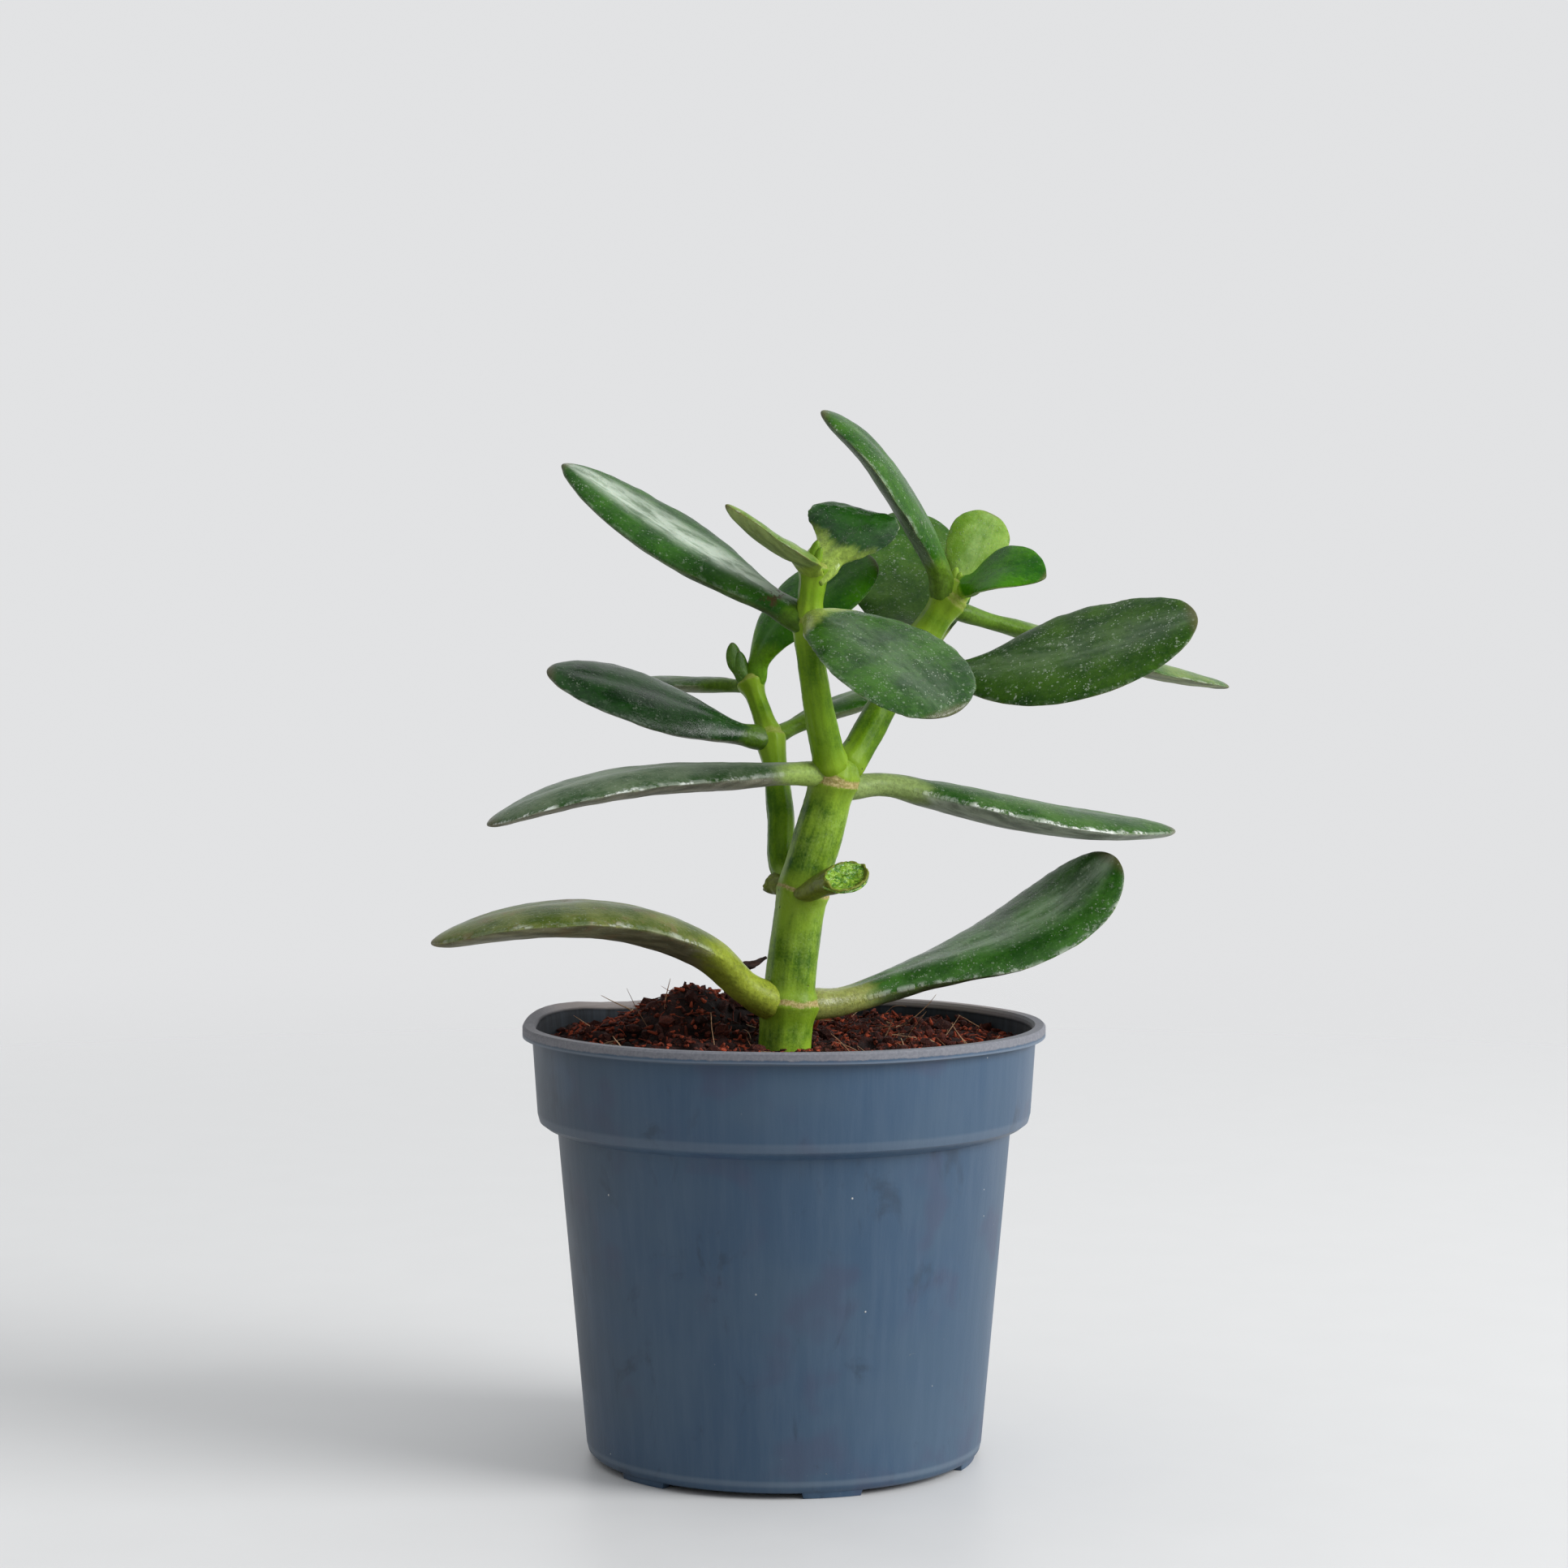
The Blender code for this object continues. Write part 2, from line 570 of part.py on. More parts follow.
def make_right_leaves(right):
    """Two pairs on the right branch, and the young pair and bud at its end."""
    make_leaf(
        "leaf_right_broad", [right],
        spine=[(25.4, 10.8, 159.8), (30.8, 6, 157.6), (42.0, 0.5, 157.0), (56.0, -4, 159.6), (69.8, -8, 163.6),
               (81.4, -11, 168.6)],
        face=(-0.1, -0.66, 0.76), width=27, thick=5.6, petiole=4.6, widest=0.58, neck=0.14, bluntness=0.5,
        cup=0.08,
    )
    make_leaf(
        "leaf_right_behind", [right],
        spine=[(25.8, 11.0, 160.6), (26.6, 18, 164.4), (26.8, 27, 171.8), (26.4, 38, 181.6), (25.4, 48, 191.4)],
        face=(0.0, -0.76, 0.65), width=26, thick=5.0, petiole=5.0, widest=0.5, neck=0.04, cup=0.1,
    )
    make_leaf(
        "leaf_right_tall", [right],
        spine=[(33.1, 14, 170.6), (31.5, 12.4, 178.0), (27.4, 10.4, 186.4), (21.9, 8, 195.4), (15.5, 5.4, 203.4),
               (7.4, 3, 209.6)],
        face=(0.8, -0.18, 0.55), width=21, thick=5.6, petiole=5.6, widest=0.55, neck=0.1,
    )
    make_leaf(
        "leaf_right_far", [right],
        spine=[(33.1, 14, 170.6), (39.3, 18, 168.7), (52.0, 25.5, 165.2), (69.0, 34, 159.8), (94.6, 44, 154.0)],
        face=(0.2, -0.06, 1.0), width=20, thick=4.6, petiole=4.0, neck=0.15,
    )
    make_leaf(
        "leaf_young_right", [right],
        spine=[(36.8, 12.8, 173.6), (39.6, 10.0, 175.8), (45.6, 4.8, 177.6), (52.4, 0.2, 176.4)],
        face=(-0.3, -0.62, 0.75), width=13.4, thick=3.0, petiole=4.0, neck=0.0, widest=0.48, bluntness=0.7,
        cup=0.22, colour="young_green",
    )
    make_leaf(
        "leaf_young_left", [right],
        spine=[(35.2, 16.4, 174.0), (37.0, 18.2, 178.6), (40.2, 21.6, 184.8), (43.2, 25.5, 190.0)],
        face=(0.1, -0.9, 0.4), width=12.6, thick=3.0, petiole=3.6, neck=0.0, widest=0.6, bluntness=0.5,
        cup=0.1, colour="young_green",
    )
    make_leaf(
        "bud_right", [right],
        spine=[(35.3, 14.8, 175.0), (35.2, 15.0, 177.4), (35.7, 15.2, 179.4)],
        face=(0.2, -1, 0), width=1.8, thick=1.5, petiole=1.5, neck=0.0, widest=0.5, colour="young_green",
        rings=BUD_RINGS,
    )


def make_back_leaves(back):
    """Two pairs on the back branch, and the bud at its end."""
    make_leaf(
        "leaf_back_left", [back],
        spine=[(-2.9, 14, 143.6), (-9.0, 11, 144.8), (-17.4, 8, 147.8), (-33.5, 2, 153.7), (-47.4, -2, 157.6)],
        face=(0.1, -0.52, 0.85), width=20.4, thick=5.8, petiole=4.6, widest=0.58, neck=0.1,
    )
    make_leaf(
        "leaf_back_right", [back],
        spine=[(-2.9, 14, 143.6), (4.1, 20, 147.2), (12.6, 28, 150.4), (21.3, 36, 153.2), (29.0, 42, 155.4)],
        face=(-0.2, -0.1, 0.95), width=17, thick=4.4, petiole=3.8, neck=0.12,
    )
    make_leaf(
        "leaf_back_up", [back],
        spine=[(-6.2, 18, 154.4), (-4.8, 17, 160.4), (-1.0, 16, 166.9), (8.6, 16, 174.0), (18.9, 16, 180.0)],
        face=(-0.4, -0.72, 0.56), width=17.5, thick=4.2, petiole=4.2, widest=0.62, neck=0.1, bluntness=0.5,
    )
    make_leaf(
        "leaf_back_far", [back],
        spine=[(-6.7, 18, 154.4), (-13.4, 23.2, 154.6), (-21.3, 29, 154.8), (-30.5, 34.5, 155.6)],
        face=(0.0, -0.03, 1.0), width=14, thick=3.6, petiole=3.2, neck=0.12,
    )
    make_leaf(
        "bud_back", [back],
        spine=[(-8.0, 17.0, 155.6), (-10.1, 16.8, 160.2), (-10.7, 16.8, 164.4)],
        face=(0.3, -1, 0.2), width=3.8, thick=2.4, petiole=1.6, neck=0.0, widest=0.55, colour="young_green",
        rings=BUD_RINGS,
    )


# ---------------------------------------------------------------------------- assembly

def main():
    clear_scene()
    make_pot()
    trunk = as_cutter(make_main_stem("main_stem_clearance", GAP))
    front = as_cutter(make_front_branch("front_branch_clearance", GAP))
    right = as_cutter(make_right_branch("right_branch_clearance", GAP))
    back = as_cutter(make_back_branch("back_branch_clearance", GAP))
    roots_clearance = as_cutter(make_roots("roots_clearance", GAP))

    make_soil([trunk, roots_clearance])
    make_bark_chip()
    make_roots()
    make_main_stem()
    boolean(make_front_branch(), trunk)
    right_branch = make_right_branch()
    boolean(right_branch, trunk)
    boolean(right_branch, front)
    boolean(make_back_branch(), trunk)

    make_main_leaves(trunk, front, right)
    make_stumps(trunk, back)
    make_front_leaves(front)
    make_right_leaves(right)
    make_back_leaves(back)


main()
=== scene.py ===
"""A young jade plant in a thin plastic nursery pot, finished for a close look.

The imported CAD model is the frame. Each leaf and stem is measured from its CAD solid, ring by ring,
and made again as a dense skin with its midrib, rim and wax. The soil gets crumbs and fibres, and
the pot gets a rounded edge, dust and scuffs. Lengths in MM are millimetres turned into metres.
"""

import math

import bmesh
import bpy
import numpy as np
from mathutils import Matrix, Vector, noise
from mathutils.bvhtree import BVHTree


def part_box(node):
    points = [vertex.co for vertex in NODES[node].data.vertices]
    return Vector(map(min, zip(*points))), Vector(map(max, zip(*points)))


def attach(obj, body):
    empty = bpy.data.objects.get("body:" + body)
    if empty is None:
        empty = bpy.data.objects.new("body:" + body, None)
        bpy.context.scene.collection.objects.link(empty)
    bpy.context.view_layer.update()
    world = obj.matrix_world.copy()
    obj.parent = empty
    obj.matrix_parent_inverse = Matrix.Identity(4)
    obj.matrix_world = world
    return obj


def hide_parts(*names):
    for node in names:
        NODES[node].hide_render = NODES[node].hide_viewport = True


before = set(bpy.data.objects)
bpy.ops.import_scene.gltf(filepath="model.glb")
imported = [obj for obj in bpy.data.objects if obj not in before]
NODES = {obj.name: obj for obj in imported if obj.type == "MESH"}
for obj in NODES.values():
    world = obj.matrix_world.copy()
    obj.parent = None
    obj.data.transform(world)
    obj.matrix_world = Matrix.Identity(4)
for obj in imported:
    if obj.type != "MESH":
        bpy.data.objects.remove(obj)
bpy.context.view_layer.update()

MM = 0.001
LEAF_CORNERS = 10        # corners round one ring of a CAD leaf
STEM_CORNERS = 12        # corners round one ring of a CAD stem
LEAF_ROWS = 90           # rings in the finished skin of a leaf, and corners round each of them
LEAF_COLUMNS = 64
STEM_ROWS_PER_MM = 2.0
STEM_COLUMNS = 56
TOUCHING = 0.5 * MM      # corners of a limb nearer than this to its parent belong to its foot
LEAST_ROOT = 1.6 * MM    # how deep a leaf's skin runs into its stem
MOST_ROOT = 5.0 * MM
FLESH_DEPTH = 1.2 * MM   # how far light soaks into leaves and stems

CAMERA_DISTANCE = 0.686
CAMERA_HEIGHT = 0.1637
CAMERA_TILT = 2.39       # degrees below level
CAMERA_LENS = 78.6
CAMERA_SENSOR = 36.0

BACKGROUND = (0.76, 0.765, 0.775, 1.0)
DAYLIGHT = (0.97, 0.985, 1.0, 1.0)
DAYLIGHT_SLOPE = (0.5, 0.6, 0.4)            # the way that the daylight grows brighter
DAYLIGHT_SPANS = (-0.8, 0.9, 0.52, 0.95)    # from and to along that way, and the strengths there
WINDOW_PLACE = (1.9, -0.7, 1.1)
WINDOW_SIZE = 1.4
WINDOW_WATTS = 60.0
PLANT_MIDDLE = (0.0, 0.0, 0.12)
FLOOR_REACH = 3.0
FLOOR_FADE = (0.22, 1.1)                    # the floor fades away between these distances


# ---------------------------------------------------------------------------- measuring the CAD limbs

def joined_mesh(node):
    """A bmesh of a CAD node, with the corners that its faces share joined."""
    bm = bmesh.new()
    bm.from_mesh(NODES[node].data)
    bmesh.ops.remove_doubles(bm, verts=bm.verts, dist=0.02 * MM)
    bm.verts.index_update()
    return bm


def surface_of(node):
    """The faces of a CAD node, to find places on them."""
    bm = joined_mesh(node)
    tree = BVHTree.FromBMesh(bm)
    bm.free()
    return tree


def in_order(corners):
    """Corners in their order round the ring that they form, or None where they form none."""
    corners = sorted(corners, key=lambda v: v.index)
    members = set(corners)
    mates = {}
    for corner in corners:
        mates[corner] = sorted((e.other_vert(corner) for e in corner.link_edges), key=lambda v: v.index)
        mates[corner] = [v for v in mates[corner] if v in members]
        if len(mates[corner]) != 2:
            return None
    order = [corners[0], mates[corners[0]][0]]
    while len(order) < len(corners):
        before, here = order[-2:]
        order.append([v for v in mates[here] if v is not before][0])
    return order


def rings_from(bm, tip, corners):
    """Whole rings of corners down a limb from its tip, and the corners left over."""
    rings = []
    level = [e.other_vert(tip) for e in tip.link_edges]
    seen = {tip, *level}
    while len(level) == corners:
        order = in_order(level)
        if order is None:
            break
        rings.append(np.array([v.co[:] for v in order]))
        level = sorted({e.other_vert(v) for v in level for e in v.link_edges} - seen, key=lambda v: v.index)
        seen.update(level)
    used = {tuple(p) for ring in rings for p in ring.tolist()}
    rest = np.array([v.co[:] for v in bm.verts if tuple(v.co[:]) not in used])
    return rings, rest


def limb(node, parent, corners):
    """(tip, rings from the tip down, middle of the limb's foot on its parent) of a CAD limb."""
    bm = joined_mesh(node)
    ground = surface_of(parent)
    tips = [v for v in bm.verts if len(v.link_edges) == corners]
    tip = max(tips, key=lambda v: ground.find_nearest(v.co)[3])
    rings, rest = rings_from(bm, tip, corners)
    rest = rest[np.linalg.norm(rest - np.array(tip.co), axis=1) > 1e-6]
    tip = np.array(tip.co)
    foot = [p for p in rest if ground.find_nearest(Vector(p))[3] < TOUCHING]
    if not foot:
        foot = [ground.find_nearest(Vector(rings[-1].mean(axis=0)))[0][:]]
    bm.free()
    return tip, rings, np.mean(foot, axis=0)


def unit(v):
    return v / max(np.linalg.norm(v), 1e-12)


def root_depth(parent, foot, inward):
    """How deep a leaf's skin can run into its parent without showing on the other side."""
    start = Vector(foot - 1.0 * MM * inward)
    ahead = Vector(inward)
    ground = surface_of(parent)
    near = ground.ray_cast(start, ahead)[0]
    if near is None:
        return LEAST_ROOT
    far = ground.ray_cast(near + 0.1 * MM * ahead, ahead)[0]
    if far is None:
        return LEAST_ROOT
    return max(LEAST_ROOT, min(0.55 * (far - near).length, MOST_ROOT))


def smooth(knots, values, wanted):
    """Values read at the wanted places off a smooth curve through those at the knots."""
    values = np.asarray(values, dtype=float)
    slopes = np.gradient(values, knots, axis=0)
    i = np.clip(np.searchsorted(knots, wanted) - 1, 0, len(knots) - 2)
    span = knots[i + 1] - knots[i]
    t = (wanted - knots[i]) / span
    if values.ndim == 2:
        t = t[:, None]
        span = span[:, None]
    start = (2 * t**3 - 3 * t**2 + 1) * values[i] + (t**3 - 2 * t**2 + t) * span * slopes[i]
    end = (3 * t**2 - 2 * t**3) * values[i + 1] + (t**3 - t**2) * span * slopes[i + 1]
    return start + end


def along_path(points):
    """How far along a path each of its points is."""
    return np.concatenate([[0], np.cumsum(np.linalg.norm(np.diff(points, axis=0), axis=1))])


def noise3(p, size, seed):
    """Smooth noise from -1 to 1 at a place in metres, with lumps of that size."""
    return noise.noise(Vector((p[0] / size + seed, p[1] / size - seed, p[2] / size + 3.7 * seed)))


def fade(x, low, high):
    """0 below low, 1 above high, and smooth between."""
    t = np.clip((x - low) / (high - low), 0, 1)
    return t * t * (3 - 2 * t)


# ---------------------------------------------------------------------------- meshes

def placed(name, mesh, paint):
    """A new object of a mesh in one material, in the scene."""
    mesh.materials.append(paint)
    piece = bpy.data.objects.new(name, mesh)
    bpy.context.scene.collection.objects.link(piece)
    return piece


def set_numbers(mesh, key, values):
    """Three numbers per corner of a mesh, for its material to read."""
    layer = mesh.attributes.new(key, "FLOAT_VECTOR", "POINT")
    layer.data.foreach_set("vector", np.asarray(values, dtype=np.float32).ravel())


def new_piece(name, verts, faces, paint, attributes=None, smooth_shaded=True):
    """A mesh object that rides on the root body, with per-vertex numbers for its material."""
    mesh = bpy.data.meshes.new(name)
    mesh.from_pydata(np.asarray(verts).tolist(), [], faces)
    for key, values in (attributes or {}).items():
        set_numbers(mesh, key, values)
    mesh.polygons.foreach_set("use_smooth", [smooth_shaded] * len(mesh.polygons))
    mesh.validate()
    piece = placed(name, mesh, paint)
    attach(piece, "root")
    return piece


def skin_faces(rows, columns):
    """Faces of a closed skin of rows x columns corners, with a corner at each end after them."""
    faces = []
    for i in range(rows - 1):
        for j in range(columns):
            k = (j + 1) % columns
            faces.append((i * columns + j, i * columns + k, (i + 1) * columns + k, (i + 1) * columns + j))
    root = rows * columns
    tip = root + 1
    last = (rows - 1) * columns
    for j in range(columns):
        k = (j + 1) % columns
        faces.append((root, k, j))
        faces.append((tip, last + j, last + k))
    return faces


def grid_normals(grid):
    """Outward directions at each corner of a closed skin of rows x columns corners."""
    around = np.roll(grid, -1, axis=1) - np.roll(grid, 1, axis=1)
    along = np.gradient(grid, axis=0)
    normals = np.cross(around, along)
    normals /= np.maximum(np.linalg.norm(normals, axis=2, keepdims=True), 1e-12)
    middle = grid.mean(axis=1, keepdims=True)
    if np.sum(normals * (grid - middle)) < 0:
        normals = -normals
    return normals


def face_outward(piece):
    """Turns all faces of a piece so that their fronts are outside."""
    bm = bmesh.new()
    bm.from_mesh(piece.data)
    bmesh.ops.recalc_face_normals(bm, faces=bm.faces)
    bm.to_mesh(piece.data)
    bm.free()


# ---------------------------------------------------------------------------- node materials

class Paint:
    """One procedural material: each method adds a node and returns its output."""

    def __init__(self, name):
        self.material = bpy.data.materials.new(name)
        self.material.use_nodes = True
        self.tree = self.material.node_tree
        self.shader = self.tree.nodes["Principled BSDF"]
        self.place = self.node("ShaderNodeTexCoord").outputs["Object"]

    def node(self, kind):
        return self.tree.nodes.new(kind)

    def plug(self, socket, value):
        if isinstance(value, bpy.types.NodeSocket):
            self.tree.links.new(value, socket)
        elif socket.type == "RGBA":
            socket.default_value = (*value, 1.0)
        else:
            socket.default_value = value

    def math(self, operation, a, b=0.0):
        node = self.node("ShaderNodeMath")
        node.operation = operation
        for socket, value in zip(node.inputs, (a, b)):
            self.plug(socket, value)
        return node.outputs[0]

    def mul(self, a, b):
        return self.math("MULTIPLY", a, b)

    def add(self, a, b):
        return self.math("ADD", a, b)

    def mix(self, share, a, b):
        node = self.node("ShaderNodeMix")
        node.data_type = "RGBA"
        self.plug(node.inputs[0], share)
        self.plug(node.inputs[6], a)
        self.plug(node.inputs[7], b)
        return node.outputs[2]

    def noise(self, size, detail=3.0, roughness=0.55, place=None, distortion=0.0):
        """Noise from 0 to 1 with lumps of a size in metres."""
        node = self.node("ShaderNodeTexNoise")
        self.plug(node.inputs["Vector"], place or self.place)
        node.inputs["Scale"].default_value = 1.0 / size
        node.inputs["Detail"].default_value = detail
        node.inputs["Roughness"].default_value = roughness
        node.inputs["Distortion"].default_value = distortion
        return node.outputs["Fac"]

    def cells(self, size):
        """(distance from the middle of a cell as a share of its size, a random number per cell)."""
        node = self.node("ShaderNodeTexVoronoi")
        self.plug(node.inputs["Vector"], self.place)
        node.inputs["Scale"].default_value = 1.0 / size
        parts = self.node("ShaderNodeSeparateColor")
        self.plug(parts.inputs[0], node.outputs["Color"])
        return node.outputs["Distance"], parts.outputs[0]

    def scaled(self, factors, place=None):
        node = self.node("ShaderNodeVectorMath")
        node.operation = "MULTIPLY"
        self.plug(node.inputs[0], place or self.place)
        node.inputs[1].default_value = factors
        return node.outputs[0]

    def step(self, value, low, high):
        """0 below low and 1 above high, or the other way round where low is the larger."""
        node = self.node("ShaderNodeMapRange")
        node.interpolation_type = "SMOOTHSTEP"
        self.plug(node.inputs["Value"], value)
        if low < high:
            spans = (low, high, 0.0, 1.0)
        else:
            spans = (high, low, 1.0, 0.0)
        for key, number in zip(("From Min", "From Max", "To Min", "To Max"), spans):
            node.inputs[key].default_value = number
        return node.outputs["Result"]

    def between(self, value, low, high):
        """A value of 0 to 1 spread from low to high."""
        return self.add(low, self.mul(value, high - low))

    def vector(self, name):
        node = self.node("ShaderNodeAttribute")
        node.attribute_name = name
        return node.outputs["Vector"]

    def split(self, vector):
        node = self.node("ShaderNodeSeparateXYZ")
        self.plug(node.inputs[0], vector)
        return node.outputs

    def bump(self, height, depth):
        node = self.node("ShaderNodeBump")
        node.inputs["Strength"].default_value = 1.0
        node.inputs["Distance"].default_value = depth
        self.plug(node.inputs["Height"], height)
        return node.outputs["Normal"]

    def finish(self, colour, roughness, normal, **constants):
        self.plug(self.shader.inputs["Base Color"], colour)
        self.plug(self.shader.inputs["Roughness"], roughness)
        self.plug(self.shader.inputs["Normal"], normal)
        for key, value in constants.items():
            self.shader.inputs[key.replace("_", " ")].default_value = value
        return self.material


def leaf_paint(name, dark, light, stalk=(0.3, 0.38, 0.12), under=(0.13, 0.19, 0.1), rim=(0.3, 0.33, 0.2),
               flakes=0.5, sheen=0.3, specks=0.5, brown=0.0, stalk_length=12.0, glow=0.04, gloss=0.34,
               shine=0.12, scab=0.0):
    """Waxy succulent skin.

    dark and light are the blade's two greens, stalk the green of its foot and rim the thin line
    round its edge. flakes, sheen, specks and brown run from 0 to 1: white wax flakes along the
    rim, a painted grey sheen along the midrib of the upper face, the pale pores all over and the
    brown patches. glow is the light that soaks in, gloss the roughness and shine the strength of
    the reflections. scab is how far from its foot, in millimetres, the leaf has a healed brown wound.
    """
    p = Paint(name)
    share = p.split(p.vector("leaf_share"))
    length = p.split(p.vector("leaf_mm"))
    lift, across = share[2], p.math("ABSOLUTE", share[1])
    broad = p.noise(8 * MM, 3.0)
    fine = p.noise(0.8 * MM, 4.0, 0.7)
    streaks = p.noise(2.0 * MM, 4.0, 0.65, p.scaled((0.22 * MM, MM, MM), p.vector("leaf_mm")))

    mottle = p.add(p.mul(broad, 0.75), p.add(p.mul(fine, 0.3), p.mul(streaks, 0.3)))
    colour = p.mix(p.step(mottle, 0.5, 0.86), dark, light)

    underside = p.step(lift, -0.02, -0.22)
    under_streaks = p.step(streaks, 0.36, 0.66)
    under_colour = p.mix(under_streaks, tuple(0.45 * c for c in under), under)
    colour = p.mix(p.mul(underside, 0.9), colour, under_colour)

    # painted sheen: a grey reflection along the midrib of the upper face, broken up by the streaks
    bloom_and_painted_sheen = p.mul(p.step(across, 0.62, 0.06), p.step(lift, 0.0, 0.3))
    bloom_and_painted_sheen = p.mul(bloom_and_painted_sheen, p.between(p.step(streaks, 0.34, 0.6), 0.35, 1.0))
    bloom_and_painted_sheen = p.mul(bloom_and_painted_sheen, p.step(length[0], 3.0, 12.0))
    colour = p.mix(p.mul(bloom_and_painted_sheen, 0.85 * sheen), colour, (0.48, 0.55, 0.46))

    pore_distance, pore_pick = p.cells(1.15 * MM)
    pores = p.mul(p.step(pore_distance, 0.3, 0.12), p.step(pore_pick, 0.62, 0.68))
    grain_distance, grain_pick = p.cells(0.42 * MM)
    grains = p.mul(p.step(grain_distance, 0.42, 0.2), p.step(grain_pick, 0.82, 0.88))
    cloud = p.step(p.noise(5 * MM, 3.0), 0.42, 0.66)
    wax = p.math("MAXIMUM", p.mul(pores, 0.4), p.mul(grains, p.between(cloud, 0.15, 1.0)))
    scales = p.mul(p.step(p.noise(1.3 * MM, 5.0, 0.8), 0.575, 0.65), p.between(cloud, 0.15, 1.0))
    wax = p.math("MAXIMUM", wax, p.mul(scales, 0.85))
    colour = p.mix(p.mul(wax, 0.75 * specks), colour, (0.42, 0.5, 0.38))

    patches = p.step(p.add(p.mul(p.noise(4.5 * MM, 4.0), 0.8), p.mul(fine, 0.2)), 0.52, 0.64)
    colour = p.mix(p.mul(patches, brown), colour, (0.16, 0.11, 0.055))

    edge = p.step(p.math("ABSOLUTE", p.add(lift, 0.02)), 0.2, 0.04)
    edge = p.mul(edge, p.mul(p.step(fine, 0.25, 0.5), p.between(p.step(broad, 0.42, 0.58), 0.25, 1.0)))
    colour = p.mix(p.mul(edge, 0.6), colour, rim)
    flaking = p.step(p.math("ABSOLUTE", p.add(lift, -0.12)), 0.34, 0.08)
    ragged = p.noise(1.3 * MM, 5.0, 0.75, p.scaled((0.45 * MM, MM, MM), p.vector("leaf_mm")))
    flaking = p.mul(flaking, p.step(p.add(ragged, p.mul(flaking, 0.08)), 0.52, 0.6))
    flaking = p.mul(flaking, p.step(length[0], 10.0, 16.0))
    flaking = p.mul(flaking, p.between(p.step(broad, 0.46, 0.56), 0.25, 1.0))
    colour = p.mix(p.mul(flaking, flakes), colour, (0.62, 0.66, 0.6))

    reach = p.add(length[0], p.mul(p.add(streaks, -0.5), 0.7 * stalk_length))
    reach = p.add(reach, p.mul(p.step(across, 0.0, 0.8), -0.2 * stalk_length))
    foot = p.step(reach, 1.25 * stalk_length, 0.8 * stalk_length)
    tone = p.step(p.add(p.mul(fine, 0.8), p.add(p.mul(streaks, 0.5), p.mul(broad, 0.5))), 0.65, 1.15)
    colour = p.mix(foot, colour, p.mix(tone, tuple(0.50 * c for c in stalk), stalk))
    colour = p.mix(p.mul(p.step(share[0], 0.955, 0.998), 0.6), colour, (0.1, 0.075, 0.04))

    if scab:
        wound = p.step(p.math("ABSOLUTE", p.add(length[0], -scab)), 2.2, 0.8)
        wound = p.mul(p.mul(wound, p.step(lift, 0.2, 0.5)), p.step(p.noise(1.5 * MM, 4.0, 0.7), 0.44, 0.54))
        colour = p.mix(p.mul(wound, 0.9), colour, (0.055, 0.035, 0.015))

    height = p.add(p.mul(fine, 0.6), p.add(p.mul(wax, 0.4), p.add(p.mul(streaks, 0.5), p.mul(flaking, 0.7))))
    normal = p.bump(height, 0.18 * MM)
    roughness = p.add(p.between(p.step(broad, 0.3, 0.7), gloss - 0.06, gloss + 0.1), p.mul(wax, 0.2))
    roughness = p.add(roughness, p.mul(underside, 0.14))
    return p.finish(colour, roughness, normal, Subsurface_Weight=glow, Subsurface_Scale=FLESH_DEPTH,
                    Specular_IOR_Level=shine)


def stem_paint(name, dark, light, powder=0.3, scars=1.0):
    """Green stem skin, deep and light in turn, with pores, a powdery bloom and tan leaf scars."""
    p = Paint(name)
    skin = p.vector("stem_mm")
    marks = p.split(p.vector("stem_marks"))
    streaks = p.noise(1.5 * MM, 4.0, 0.6, p.scaled((0.22 * MM, MM, MM), skin))
    fine = p.noise(0.5 * MM, 4.0, 0.7)
    broad = p.noise(9 * MM, 3.0)
    tone = p.add(p.mul(broad, 0.75), p.add(p.mul(streaks, 0.25), p.mul(fine, 0.25)))
    colour = p.mix(p.step(tone, 0.42, 0.74), dark, light)
    bright = p.mul(p.step(marks[1], 0.15, 0.9), 0.5)
    colour = p.mix(bright, colour, (0.22, 0.34, 0.02))
    grain_distance, grain_pick = p.cells(0.5 * MM)
    grains = p.mul(p.step(grain_distance, 0.45, 0.2), p.step(grain_pick, 0.6, 0.7))
    cloud = p.step(p.noise(6 * MM, 3.0), 0.44, 0.66)
    bloom_and_painted_sheen = p.mul(p.mul(grains, p.between(cloud, 0.08, 0.7)), powder)
    haze = p.mul(p.mul(cloud, p.step(fine, 0.35, 0.65)), 0.30 * powder)
    colour = p.mix(p.math("MAXIMUM", bloom_and_painted_sheen, haze), colour, (0.38, 0.46, 0.3))
    pit_distance, pit_pick = p.cells(2.6 * MM)
    pits = p.mul(p.step(pit_distance, 0.13, 0.06), p.step(pit_pick, 0.55, 0.6))
    colour = p.mix(p.mul(pits, 0.7), colour, (0.05, 0.05, 0.015))
    scar = p.mul(p.mul(marks[0], p.step(p.add(fine, p.mul(marks[0], 0.8)), 0.85, 1.15)), scars)
    scar_colour = p.mix(p.step(fine, 0.4, 0.65), (0.28, 0.19, 0.08), (0.5, 0.39, 0.2))
    colour = p.mix(p.mul(scar, 0.85), colour, scar_colour)
    height = p.add(p.mul(fine, 0.35), p.add(p.mul(streaks, 0.3), p.mul(pits, -0.6)))
    normal = p.bump(height, 0.15 * MM)
    roughness = p.add(p.between(streaks, 0.3, 0.42), p.mul(p.math("MAXIMUM", scar, bloom_and_painted_sheen), 0.3))
    return p.finish(colour, roughness, normal, Subsurface_Weight=0.04, Subsurface_Scale=FLESH_DEPTH,
                    Specular_IOR_Level=0.12)


